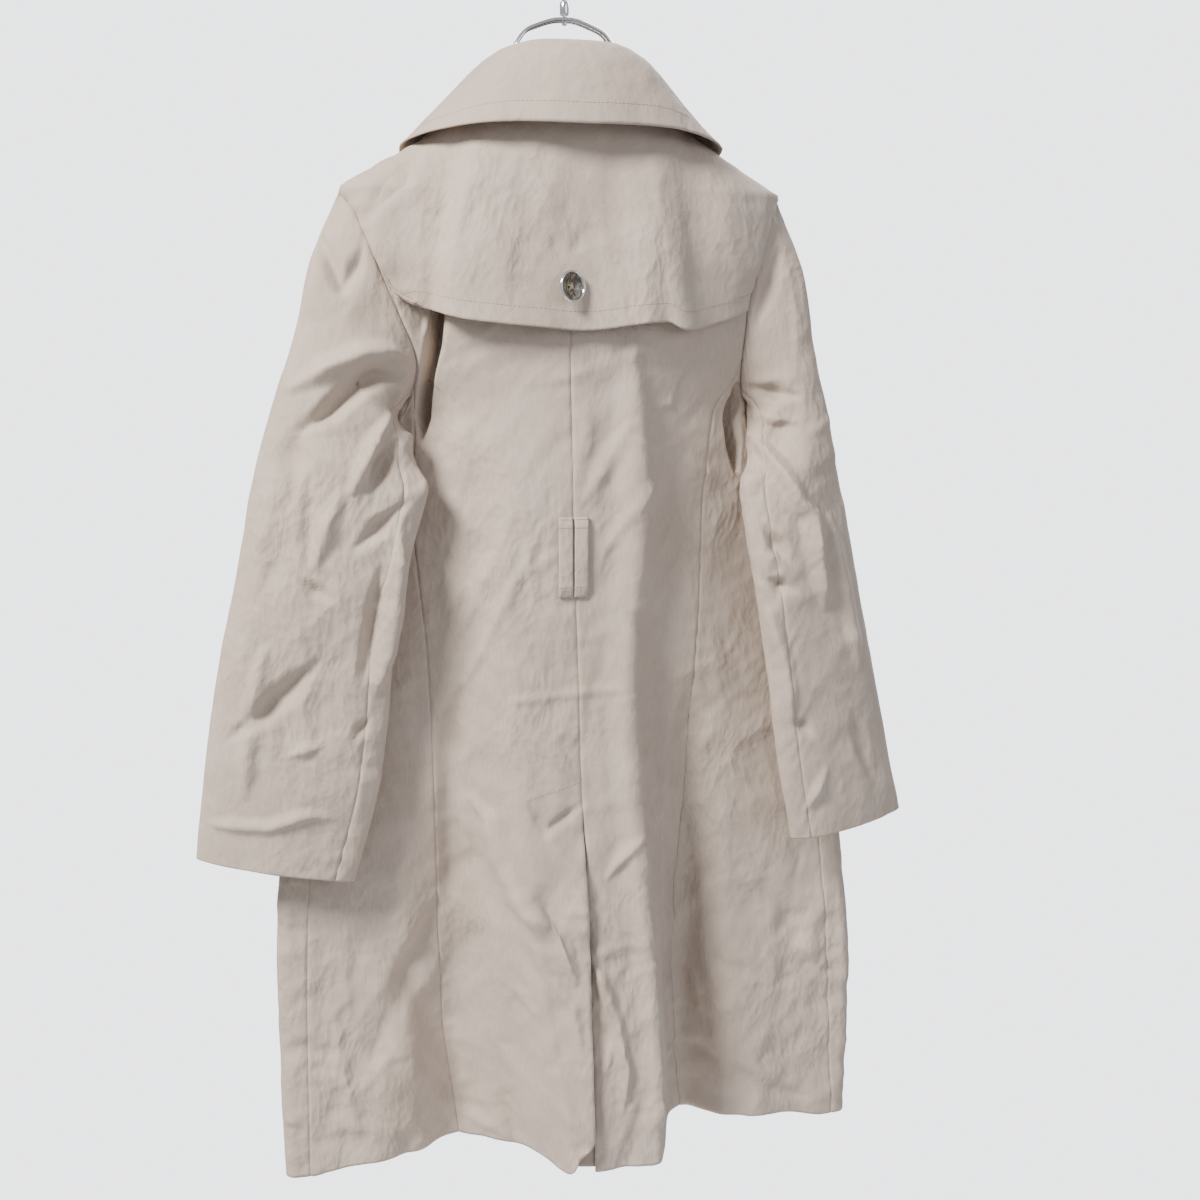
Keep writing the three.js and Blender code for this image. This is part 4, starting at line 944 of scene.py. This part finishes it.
sleeves = {
    -1: [sleevePanel("upper_sleeve_left", -1, "upper"), sleevePanel("under_sleeve_left", -1, "under")],
    1: [sleevePanel("upper_sleeve_right", 1, "upper"), sleevePanel("under_sleeve_right", 1, "under")],
}
print("sleeves shaped")


flapCut = {"share": 0.985, "columns": 120, "lowRows": 52, "highRows": 24, "box": (-150, 150, -320, -150)}
flapButton = {"x": -12.0, "z": -285.0, "seat": 0.7, "lean": 20.0, "foot": 10.9}


def flapLift(ring, x, z):
    low = rowValue(flapHem, "z", x, "x")
    drop = np.clip((-150 - z) / (-150 - low), 0, 1)
    edgeFade = 1 - np.abs(ring) ** 8
    return 3.1 - 1.5 * np.abs(ring) ** 10 + rowValue(flapHem, "standOff", x, "x") * drop**2 * edgeFade


def flapSurface():
    ring = np.linspace(-flapCut["share"], flapCut["share"], flapCut["columns"] + 1)[:, None]
    low = rowValue(flapHem, "z", bodyPoint(ring, np.full_like(ring, -310))[..., 0], "x")
    lower = low + (form["shoulderZ"] - low) * np.linspace(0, 1, flapCut["lowRows"] + 1)[None, :]
    upper = np.linspace(form["shoulderZ"], form["neckZ"] - 2, flapCut["highRows"] + 1)[None, 1:]
    z = np.concatenate([lower, np.broadcast_to(upper, (ring.shape[0], upper.shape[1]))], 1)
    rings = np.broadcast_to(ring, z.shape)
    base = bodyPoint(rings, z)
    points = base + gridNormals(base) * flapLift(rings, base[..., 0], z)[..., None]
    x, z = points[..., 0], points[..., 2]
    rise = creaseRise(x, z, creases["flap"]) + planeRise(x, z) + swell(x, z, 61, 120, 0.8)
    rise += crumple(x, z, 62, flapCut["box"], 40, 28, 0.6) + crumple(x, z, 63, flapCut["box"], 90, 12, 0.3)
    rise *= stillness(x, z, [(flapButton["x"], flapButton["z"], 21, 21)])
    return panel("storm_flap", points, rise, {"first": 0.8, "last": 0.8})


flap = flapSurface()


# how far round each part of the collar goes, in degrees from the centre back, and its grid
collarCut = {"fallEnd": 135, "fallColumns": 170, "standEnd": 106, "standColumns": 120, "standRows": 12}


def fallSurface():
    # from the edge over the fold and a little way down inside the neck
    downs = np.concatenate(
        [np.linspace(1, 0, 34), np.linspace(-0.01, -0.04, 4), np.linspace(-0.06, -0.16, 5)])
    degrees = np.linspace(-collarCut["fallEnd"], collarCut["fallEnd"], collarCut["fallColumns"])[:, None]
    down = np.broadcast_to(downs[None, :], (len(degrees), len(downs)))
    points = fallPoint(np.broadcast_to(degrees, down.shape), down)
    x, z = degrees * 1.3 + 0 * down, -down * 70
    rise = swell(x, z, 71, 110, 0.9) + crumple(x, z, 72, (-180, 180, -80, 10), 60, 15, 0.6)
    return panel("collar_fall", points, rise * smooth(-0.02, 0.2, down), {})


def standSurface():
    degrees = np.linspace(-collarCut["standEnd"], collarCut["standEnd"], collarCut["standColumns"])[:, None]
    up = np.linspace(0, 1, collarCut["standRows"])[None, :]
    seam, fold = collarFold(degrees + 0 * up)
    seam[..., 2] += 0.9
    fold[..., 2] -= 2
    return panel("collar_stand", seam + (fold - seam) * up[..., None], 0 * (degrees + up), {})


collarFall = fallSurface()
standSurface()


loopCut = {"top": -464.0, "length": 65.0, "width": 11.5, "rise": 2.0, "ends": 8.0, "spread": 12.6}


def beltLoop(name, middle):
    u = np.linspace(-0.5, 0.5, 9)[:, None]
    v = np.linspace(0, 1, 44)[None, :]
    z = loopCut["top"] - loopCut["length"] * (1 - v) + 0 * u
    x = middle + u * loopCut["width"] + 0 * v
    ring = ringAt(x, z)
    base = bodyPoint(ring, z)
    normals = gridNormals(base)
    fromEnd = np.minimum(z - (loopCut["top"] - loopCut["length"]), loopCut["top"] - z)
    off = 1.7 + loopCut["rise"] * smooth(0, loopCut["ends"], fromEnd) + 0.5 * (1 - (2 * np.abs(u)) ** 4)
    return panel(name, base + normals * off[..., None], swell(x, z, 81, 30, 0.15), {})


loopMiddle = float(rowValue(seamRows, "centre", loopCut["top"])) - 0.2
loopLeft = beltLoop("belt_loop_left", loopMiddle - loopCut["spread"] / 2)
loopRight = beltLoop("belt_loop_right", loopMiddle + loopCut["spread"] / 2)


# where the cloth is pulled: middle, reach and move, each x, y, z, and if the armhole seam stays put
sleevePulls = {
    -1: [
        ((-136, -24, -402), (34, 46, 30), (6, -9, 2), True),
        ((-124, -50, -442), (42, 60, 46), (7, -5, 11), False),
    ],
    1: [
        ((156, -16, -402), (30, 46, 28), (-6, -7, 0), True),
        ((143, -50, -446), (40, 60, 44), (-6, -4, 14), False),
    ],
}


def pullAway(points, middle, reach, move, hold=1.0):
    # the cloth near a point is pulled by a move, less and less towards its reach
    distance = np.linalg.norm((points - np.array(middle, float)) / np.array(reach, float), axis=-1)
    weight = np.clip(1 - distance, 0, 1) ** 2 * hold
    points += weight[..., None] * np.array(move, float)


def fromArmhole(points, side):
    # 0 on the armhole seam, 1 from 12 mm away
    _, _, low, high = edgeDistances(points)
    return smooth(0, 12, low if side > 0 else high)


pullAway(backLeft, backLeft[-1, 0].copy(), (30, 60, 40), (-17, -4, 24))  # the vent's corner curls up
pullAway(flap, flap[0, 0].copy(), (22, 40, 24), (6, -7, 5))  # so does the flap's left tip
for side, pulls in sleevePulls.items():
    for sleeve in sleeves[side]:
        for middle, reach, move, seamStays in pulls:
            pullAway(sleeve, middle, reach, move, fromArmhole(sleeve, side) if seamStays else 1.0)

pieces = {}
for name in panels:
    # the vent underlap and the collar stand lie in shade, so they get the darker copy of the cloth, which is
    # painted shadow
    material = cottonPaintedShadow if name in ("vent_underlap", "collar_stand") else cottonFace
    pieces[name] = meshFrom(name + "_cloth", panels[name], material)
    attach(pieces[name], "root")
    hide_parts(name)
print("cloth pieces made")


def lineAcross(grid, distance):
    # the line on a piece that keeps a distance from its first row, with its normals
    normals = gridNormals(grid)
    low = edgeDistances(grid)[2]
    line, facing = [], []
    for column in range(grid.shape[0]):
        row = int(np.clip(np.searchsorted(low[column], distance), 1, grid.shape[1] - 1))
        t = (distance - low[column, row - 1]) / max(low[column, row] - low[column, row - 1], 1e-9)
        line.append(grid[column, row - 1] * (1 - t) + grid[column, row] * t)
        facing.append(normals[column, row])
    return np.array(line), np.array(facing)


thread = {
    "pitch": 3.4, "loopPitch": 2.8, "length": 2.6, "thick": 0.42,
    "fromFlapHem": 14.5, "fromCollarEdge": 16.0,
}
bpy.ops.mesh.primitive_uv_sphere_add(segments=6, ring_count=5, radius=0.5, location=(0, 0, 0))
stitchShape = bpy.context.object
stitchPoints = np.array([tuple(v.co) for v in stitchShape.data.vertices])
stitchFaces = [tuple(p.vertices) for p in stitchShape.data.polygons]
bpy.data.objects.remove(stitchShape)


def stitchRow(line, facing, pitch=thread["pitch"]):
    # one row of stitches lying on the cloth, as points and faces
    steps = np.linalg.norm(np.diff(line, axis=0), axis=-1)
    run = np.concatenate([[0], np.cumsum(steps)])
    places = np.arange(pitch / 2, run[-1], pitch)
    at = np.stack([np.interp(places, run, line[:, i]) for i in range(3)], -1)
    up = np.stack([np.interp(places, run, facing[:, i]) for i in range(3)], -1)
    before = np.stack([np.interp(places - 0.8, run, line[:, i]) for i in range(3)], -1)
    ahead = np.stack([np.interp(places + 0.8, run, line[:, i]) for i in range(3)], -1) - before
    up /= np.linalg.norm(up, axis=-1, keepdims=True)
    ahead /= np.maximum(np.linalg.norm(ahead, axis=-1, keepdims=True), 1e-9)
    aside = np.cross(up, ahead)
    points, faces = [], []
    for place, forward, side, out in zip(at, ahead, aside, up):
        base = len(points) * len(stitchPoints)
        shape = (
            stitchPoints[:, 2:3] * forward * thread["length"]
            + (stitchPoints[:, 0:1] * side + stitchPoints[:, 1:2] * out) * thread["thick"])
        points.append(shape + place + out * 0.08)
        faces += [tuple(base + i for i in face) for face in stitchFaces]
    return np.concatenate(points), faces


def stitches(name, rows, material):
    points, faces = [], []
    for rowPoints, rowFaces in rows:
        base = sum(len(p) for p in points)
        points.append(rowPoints)
        faces += [tuple(base + i for i in face) for face in rowFaces]
    mesh = bpy.data.meshes.new(name)
    mesh.from_pydata((np.concatenate(points) * millimetre).tolist(), [], faces)
    mesh.materials.append(material)
    mesh.shade_smooth()
    piece = bpy.data.objects.new(name, mesh)
    bpy.context.collection.objects.link(piece)
    shapeUp = bmesh.new()
    shapeUp.from_mesh(mesh)
    bmesh.ops.recalc_face_normals(shapeUp, faces=shapeUp.faces)
    shapeUp.to_mesh(mesh)
    shapeUp.free()
    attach(piece, "root")
    return piece


# polyester sewing thread, smooth with a low sheen, coloured darker than the cloth as painted shade of the
# sunken stitch line, which the cloth mesh is too coarse to show
threadPaintedShade, _ = newMaterial(
    "polyester sewing thread", {"Base Color": toLinear("8f8376"), "Roughness": 0.55})
stitches("flap_topstitch", [stitchRow(*lineAcross(flap, thread["fromFlapHem"]))], threadPaintedShade)
stitches("collar_topstitch", [stitchRow(*lineAcross(collarFall, thread["fromCollarEdge"]))], threadPaintedShade)


def rowBetween(grid, start, end, count=12):
    # a straight row over a piece between two places given as shares of its columns and rows
    shares = np.linspace(0, 1, count)
    normals = gridNormals(grid)
    line, facing = [], []
    for share in shares:
        c = (start[0] + (end[0] - start[0]) * share) * (grid.shape[0] - 1)
        r = (start[1] + (end[1] - start[1]) * share) * (grid.shape[1] - 1)
        c0, r0 = int(min(c, grid.shape[0] - 2)), int(min(r, grid.shape[1] - 2))
        a, b = c - c0, r - r0
        for result, values in ((line, grid), (facing, normals)):
            low = values[c0, r0] * (1 - a) + values[c0 + 1, r0] * a
            high = values[c0, r0 + 1] * (1 - a) + values[c0 + 1, r0 + 1] * a
            result.append(low * (1 - b) + high * b)
    return np.array(line), np.array(facing)


for loopGrid, side in ((loopLeft, "left"), (loopRight, "right")):
    loopRows = []
    for share in (0.03, 0.13, 0.87, 0.97):
        line = rowBetween(loopGrid, (0.04, share), (0.96, share))
        loopRows.append(stitchRow(*line, pitch=thread["loopPitch"]))
    stitches(side + "_loop_stitches", loopRows, threadPaintedShade)


def shareAtHeight(grid, z):
    rows = grid[grid.shape[0] // 2, :, 2]
    return float(np.interp(z, rows, np.linspace(0, 1, len(rows))))


ventStitch = {"top": -683.0, "low": -697.0, "from": 0.97, "to": 0.60}
ventRow = rowBetween(
    backLeft, (ventStitch["from"], shareAtHeight(backLeft, ventStitch["top"])),
    (ventStitch["to"], shareAtHeight(backLeft, ventStitch["low"])), 24)
stitches("vent_stitches", [stitchRow(*ventRow)], threadPaintedShade)


button = {
    "sides": 64, "holeRadius": 0.95, "holeFromMiddle": 2.1 * math.sqrt(2) / 1.25,
    "edge": 0.22, "strand": 0.42,
    "rim": [(9.4, 0.5), (10.8, 0.0), (12.1, 1.0), (12.5, 2.6),
            (12.4, 4.2), (11.8, 5.0), (10.9, 4.8), (10.3, 3.2)],
    "horn": [(9.3, 0.8), (10.2, 3.0), (9.2, 2.5), (6.6, 1.7), (3.2, 1.2), (0.6, 1.2)],
}

# die-cast and chrome-plated zinc rim, polished by hand
chrome, chromeShader = newMaterial("polished chrome plate", {
    "Base Color": toLinear("e3e4e6"), "Metallic": 1.0, "Roughness": 0.12})
chromePlace = addNode(chrome, "ShaderNodeTexCoord").outputs["Object"]
chromeHaze = addNode(chrome, "ShaderNodeTexNoise", {"Scale": 900.0, "Detail": 2.0}, {"Vector": chromePlace})
chromeBump = addNode(
    chrome, "ShaderNodeBump", {"Strength": 0.05, "Distance": 0.0002}, {"Height": chromeHaze.outputs["Fac"]})
chrome.node_tree.links.new(chromeBump.outputs["Normal"], chromeShader.inputs["Normal"])

# pressed and polished horn, cloudy olive brown with pale streaks about 3 mm wide
horn, hornShader = newMaterial("polished mottled horn", {
    "Roughness": 0.22, "Coat Weight": 0.4, "Coat Roughness": 0.08})
hornPlace = addNode(horn, "ShaderNodeTexCoord").outputs["Object"]
hornStretch = addNode(horn, "ShaderNodeMapping", {"Scale": (1.0, 1.0, 0.5)}, {"Vector": hornPlace})
hornCloud = addNode(
    horn, "ShaderNodeTexNoise", {"Scale": 240.0, "Detail": 3.0, "Distortion": 1.6},
    {"Vector": hornStretch.outputs["Vector"]})
hornStops = [(0.30, "2a241b"), (0.46, "4d4434"), (0.58, "7d7462"), (0.72, "a89f8b")]
hornColour = addNode(horn, "ShaderNodeValToRGB", {
    "stops": [(place, toLinear(colour)) for place, colour in hornStops]}, {0: hornCloud.outputs["Fac"]})
horn.node_tree.links.new(hornColour.outputs["Color"], hornShader.inputs["Base Color"])


def selectOnly(piece):
    bpy.ops.object.select_all(action="DESELECT")
    piece.select_set(True)
    bpy.context.view_layer.objects.active = piece


def joined(objects):
    bpy.ops.object.select_all(action="DESELECT")
    for each in objects:
        each.select_set(True)
    bpy.context.view_layer.objects.active = objects[0]
    bpy.ops.object.join()
    return bpy.context.object


def turnedPiece(name, profile, sides, closed, material):
    # a circle extruded from one ring of the profile to the next, round the Z axis
    bpy.ops.object.select_all(action="DESELECT")
    radius, height = profile[0]
    bpy.ops.mesh.primitive_circle_add(
        vertices=sides, radius=radius * millimetre, location=(0, 0, height * millimetre),
        fill_type="NOTHING" if closed else "NGON")
    piece = bpy.context.object
    piece.name = name
    bpy.ops.object.transform_apply(location=True)
    bpy.ops.object.mode_set(mode="EDIT")
    bpy.ops.mesh.select_all(action="SELECT")
    for nextRadius, nextHeight in profile[1:] + (profile[:1] if closed else []):
        bpy.ops.mesh.extrude_region_move(
            TRANSFORM_OT_translate={"value": (0, 0, (nextHeight - height) * millimetre)})
        scale = nextRadius / radius
        bpy.ops.transform.resize(value=(scale, scale, 1), center_override=(0, 0, nextHeight * millimetre))
        radius, height = nextRadius, nextHeight
    bpy.ops.mesh.select_all(action="SELECT")
    bpy.ops.mesh.remove_doubles(threshold=1e-6)
    bpy.ops.mesh.normals_make_consistent(inside=False)
    bpy.ops.object.mode_set(mode="OBJECT")
    piece.data.materials.clear()
    piece.data.materials.append(material)
    return piece


def roundOff(piece, levels):
    selectOnly(piece)
    softer = piece.modifiers.new("round", "SUBSURF")
    softer.levels = softer.render_levels = levels
    bpy.ops.object.modifier_apply(modifier="round")
    piece.data.shade_smooth()


rimModel = turnedPiece("rimModel", button["rim"], button["sides"], True, chrome)
roundOff(rimModel, 1)
hornModel = turnedPiece("hornModel", button["horn"], button["sides"], False, horn)
cutters = []
for holeX, holeY in ((1, 0), (-1, 0), (0, 1), (0, -1)):
    spread = button["holeFromMiddle"] * millimetre
    bpy.ops.mesh.primitive_cylinder_add(
        vertices=20, radius=button["holeRadius"] * millimetre, depth=0.01,
        location=(holeX * spread, holeY * spread, 0.002))
    cutters.append(bpy.context.object)
holeCutter = joined(cutters)
selectOnly(hornModel)
holes = hornModel.modifiers.new("holes", "BOOLEAN")
holes.object, holes.operation, holes.solver = holeCutter, "DIFFERENCE", "EXACT"
bpy.ops.object.modifier_apply(modifier="holes")
bpy.data.objects.remove(holeCutter)
edgeRound = hornModel.modifiers.new("edge", "BEVEL")
edgeRound.width, edgeRound.segments = button["edge"] * millimetre, 2
edgeRound.angle_limit = math.radians(50)
bpy.ops.object.modifier_apply(modifier="edge")
hornModel.data.shade_smooth()
bpy.ops.object.shade_smooth_by_angle(angle=math.radians(40))


def wireFrom(name, points, thickness, material, sides=3):
    # a round wire through its points, with both ends closed
    curve = bpy.data.curves.new(name, "CURVE")
    curve.dimensions = "3D"
    curve.bevel_depth = thickness * millimetre
    curve.bevel_resolution = sides
    curve.resolution_u = 8
    curve.use_fill_caps = True
    spline = curve.splines.new("BEZIER")
    spline.bezier_points.add(len(points) - 1)
    for knot, point in zip(spline.bezier_points, points):
        knot.co = [v * millimetre for v in point]
        knot.handle_left_type = knot.handle_right_type = "AUTO"
    piece = bpy.data.objects.new(name, curve)
    bpy.context.collection.objects.link(piece)
    selectOnly(piece)
    bpy.ops.object.convert(target="MESH")
    piece = bpy.context.object
    piece.data.materials.append(material)
    piece.data.shade_smooth()
    return piece


# beige button thread, four strands through opposite holes
buttonThread, _ = newMaterial("waxed button thread", {"Base Color": toLinear("cbbd9f"), "Roughness": 0.6})
strands = []
for acrossX, acrossY in ((1, 0), (0, 1)):
    for shift in (-button["strand"], button["strand"]):
        reach = button["holeFromMiddle"]
        top = 1.9 + 0.5 * acrossY
        path = [(-reach, 0.4), (-reach * 0.86, 1.5), (0, top), (reach * 0.86, 1.5), (reach, 0.4)]
        route = [(p * acrossX + shift * acrossY, p * acrossY + shift * acrossX, h) for p, h in path]
        strands.append(wireFrom("strand", route, button["strand"], buttonThread, 2))
threadModel = joined(strands)


def placedCopy(model, name, middle, normal):
    piece = model.copy()
    piece.data = model.data.copy()
    piece.name = name
    bpy.context.collection.objects.link(piece)
    selectOnly(piece)
    piece.rotation_mode = "QUATERNION"
    piece.rotation_quaternion = Vector((0, 0, 1)).rotation_difference(Vector(normal))
    piece.location = [v * millimetre for v in middle]
    bpy.ops.object.transform_apply(location=True, rotation=True)
    return piece


def sewButton(node, middle, normal):
    for model, part in ((rimModel, "rim"), (hornModel, "horn")):
        piece = placedCopy(model, f"{node}_{part}_turned", middle, normal)
        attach(piece, "root")
        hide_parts(f"{node}_{part}")
    piece = placedCopy(threadModel, f"{node}_thread", middle, normal)
    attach(piece, "root")


def surfaceAt(place, ringMiddle, z):
    # point and outward normal of a surface of ring and height
    ring = np.array([ringMiddle - 1e-3, ringMiddle + 1e-3, ringMiddle, ringMiddle, ringMiddle])
    height = np.array([z, z, z - 1, z + 1, z])
    points = place(ring, height)
    normal = np.cross(points[1] - points[0], points[3] - points[2])
    return points[4], normal / np.linalg.norm(normal)


def flapPlace(ring, z):
    normals = np.array([surfaceAt(bodyPoint, r, h)[1] for r, h in zip(ring, z)])
    base = bodyPoint(ring, z)
    return base + normals * flapLift(ring, base[..., 0], z)[..., None]


buttonRing = float(ringAt(flapButton["x"], flapButton["z"]))
buttonPoint, buttonNormal = surfaceAt(flapPlace, buttonRing, flapButton["z"])
lean = math.radians(flapButton["lean"])
buttonLean = Vector(buttonNormal)
buttonLean.rotate(Quaternion((0, 0, 1), lean))
buttonPoint = buttonPoint + buttonNormal * flapButton["foot"] * math.sin(lean)
sewButton("flap_button", buttonPoint + np.array(buttonLean) * flapButton["seat"], buttonLean)
for number, z in enumerate(buttonHeights):
    point = bodyPoint(np.array([2.0]), np.array([z]))[0]
    point[1] += float(frontLift(2.0, z, point[0])) + frontButtons["seat"]
    sewButton(f"front_button_{number + 1}", point, (0, 1, 0))
for model in (rimModel, hornModel, threadModel):
    bpy.data.objects.remove(model)
print("buttons sewn")

# how each piece was cut: flat width, length and area in metres, how it is held, what carries it
# and what is sewn on it; a sleeve's width is the cut all round its part of the tube
arms = ["hanger_wire_near", "hanger_wire_far"]
cutList = {
    "back_left": (0.190, 0.980, 0.1290, "hung", arms, ["vent_stitches"]),
    "back_right": (0.205, 0.978, 0.1285, "hung", arms, []),
    "side_back_left": (0.144, 0.714, 0.0600, "hung", ["back_left"], []),
    "side_back_right": (0.160, 0.712, 0.0760, "hung", ["back_right"], []),
    "front_left": (0.346, 1.008, 0.2230, "hung", arms, []),
    "front_right": (0.360, 1.000, 0.2290, "hung", arms, []),
    "vent_underlap": (0.064, 0.330, 0.0180, "hung", ["back_right"], []),
    "lapel_left": (0.089, 0.251, 0.0091, "folded", ["front_left"], []),
    "lapel_right": (0.089, 0.252, 0.0092, "folded", ["front_right"], []),
    "upper_sleeve_left": (0.354, 0.546, 0.1260, "hung", ["back_left", "front_left"], []),
    "under_sleeve_left": (0.086, 0.438, 0.0200, "hung", ["side_back_left"], []),
    "upper_sleeve_right": (0.346, 0.548, 0.1070, "hung", ["back_right", "front_right"], []),
    "under_sleeve_right": (0.063, 0.428, 0.0168, "hung", ["side_back_right"], []),
    "storm_flap": (0.406, 0.244, 0.0602, "hung", ["back_left", "back_right"], ["flap_topstitch"]),
    "collar_fall": (0.570, 0.140, 0.0408, "folded", ["collar_stand"], ["collar_topstitch"]),
    "collar_stand": (0.208, 0.038, 0.0070, "folded", ["back_left", "back_right"], []),
    "belt_loop_left": (0.0115, 0.066, None, "laid", ["back_left"], ["left_loop_stitches"]),
    "belt_loop_right": (0.0115, 0.066, None, "laid", ["back_right"], ["right_loop_stitches"]),
}
for name, (width, length, area, held, carriers, sewn) in cutList.items():
    print("cut", name, width, length, area, measured(name))


# hook, then the double arm: the hump over the collar, where it enters the neck and its way outwards
hanger = {
    "radius": 19.0, "wire": 1.9, "shaft": [(0, 0, -62.1), (0, 0, -50), (3, 0, -41)],
    "arm": 1.6, "under": 2.5,
    "humpTop": -76.0, "humpHalf": 34.0, "humpLow": -88.0, "split": 3.7, "neckX": 55.0, "neckSplit": 8.0,
    "armHeights": (-164.0, -174.0, -184.0, -194.0), "armRing": {-1: 0.86, 1: 1.14},
    "ferrule": [(0.4, -80), (1.7, -80), (1.9, -79.2), (1.9, -76.4), (1.7, -75.6), (1.7, -72.6), (3.2, -72.4),
                (3.6, -71), (3.6, -64), (3.0, -62.4), (0.4, -62.4)],
}


def hangerPiece(piece, node):
    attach(piece, "root")
    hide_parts(node)


hookRoute = list(hanger["shaft"])
for degrees in range(-30, 201, 23):
    turn = math.radians(degrees)
    x, up = hanger["radius"] * math.cos(turn), hanger["radius"] * math.sin(turn)
    hookRoute.append((x, 0, hanger["wire"] - hanger["radius"] + up))
hangerPiece(wireFrom("hanger_hook_wire", hookRoute, hanger["wire"], chrome), "hanger_hook")
for face, node in ((-1, "hanger_wire_near"), (1, "hanger_wire_far")):
    arm = {-1: [], 1: []}
    for side in arm:
        for z in hanger["armHeights"]:
            point, normal = surfaceAt(bodyPoint, side * hanger["armRing"][face], z)
            arm[side].append(tuple(point - normal * (hanger["under"] + hanger["arm"])))
    hump = []
    for share in (-1, -0.62, 0, 0.62, 1):
        z = hanger["humpTop"] + (hanger["humpLow"] - hanger["humpTop"]) * share**2
        hump.append((share * hanger["humpHalf"], face * hanger["split"], z))
    into = [(side * hanger["neckX"], face * hanger["neckSplit"], form["neckZ"]) for side in (-1, 1)]
    path = arm[-1][::-1] + into[:1] + hump + into[1:] + arm[1]
    hangerPiece(wireFrom(node + "_wire", path, hanger["arm"], chrome), node)
ferruleTurned = turnedPiece("hanger_ferrule_turned", hanger["ferrule"], 40, False, chrome)
selectOnly(ferruleTurned)
ferruleTurned.data.shade_smooth()
bpy.ops.object.shade_smooth_by_angle(angle=math.radians(35))
hangerPiece(ferruleTurned, "hanger_ferrule")
print("hanger bent")


cameraView = {
    "place": (-0.259, -1.218, -0.330), "heading": 13.3, "pitch": -9.6, "lens": 45.0, "sensor": 36.0,
}
cameraData = bpy.data.cameras.new("camera")
cameraData.lens, cameraData.sensor_width = cameraView["lens"], cameraView["sensor"]
camera = bpy.data.objects.new("camera", cameraData)
camera.location = cameraView["place"]
camera.rotation_euler = (math.radians(90 + cameraView["pitch"]), 0, math.radians(-cameraView["heading"]))
bpy.context.collection.objects.link(camera)
bpy.context.scene.camera = camera

studio = {
    "backdrop": "eff1f6", "backdropStrength": 3.5, "fillStrength": 0.56,
    "floor": "f4f4f6", "floorDrop": -1.65, "floorRadius": 0.85, "target": (0, 0, -0.6),
}
world = bpy.data.worlds.new("pale studio")
world.use_nodes = True
sky = world.node_tree.nodes["Background"]
sky.inputs["Color"].default_value = toLinear(studio["backdrop"])
# the backdrop is brighter to the eye than the fill light that it gives
seen = world.node_tree.nodes.new("ShaderNodeLightPath")
level = world.node_tree.nodes.new("ShaderNodeMapRange")
level.inputs["To Min"].default_value = studio["fillStrength"]
level.inputs["To Max"].default_value = studio["backdropStrength"]
world.node_tree.links.new(seen.outputs["Is Camera Ray"], level.inputs["Value"])
world.node_tree.links.new(level.outputs["Result"], sky.inputs["Strength"])
bpy.context.scene.world = world


def softLight(name, place, size, power, colour):
    data = bpy.data.lights.new(name, "AREA")
    data.shape, data.size, data.energy, data.color = "DISK", size, power, toLinear(colour)[:3]
    light = bpy.data.objects.new(name, data)
    light.location = place
    toTarget = Vector(studio["target"]) - Vector(place)
    light.rotation_euler = toTarget.to_track_quat("-Z", "Y").to_euler()
    bpy.context.collection.objects.link(light)


softLight("window", (-1.9, -1.25, 1.35), 0.9, 200, "fffaf4")
softLight("room", (1.8, -2.6, 0.6), 2.0, 24, "f4f6ff")
softLight("behind", (1.5, 1.9, 1.2), 1.4, 90, "fbfaff")

bpy.ops.mesh.primitive_circle_add(
    vertices=96, radius=studio["floorRadius"], fill_type="NGON", location=(0, 0, studio["floorDrop"]))
floor = bpy.context.object
floor.name = "floor"
bpy.ops.object.transform_apply(location=True)
# matt emulsion on boards: even and pale, with hardly a reflection
floorPaint, _ = newMaterial(
    "pale painted floor", {"Base Color": toLinear(studio["floor"]), "Roughness": 0.7})
floor.data.materials.append(floorPaint)
print("camera and light set")
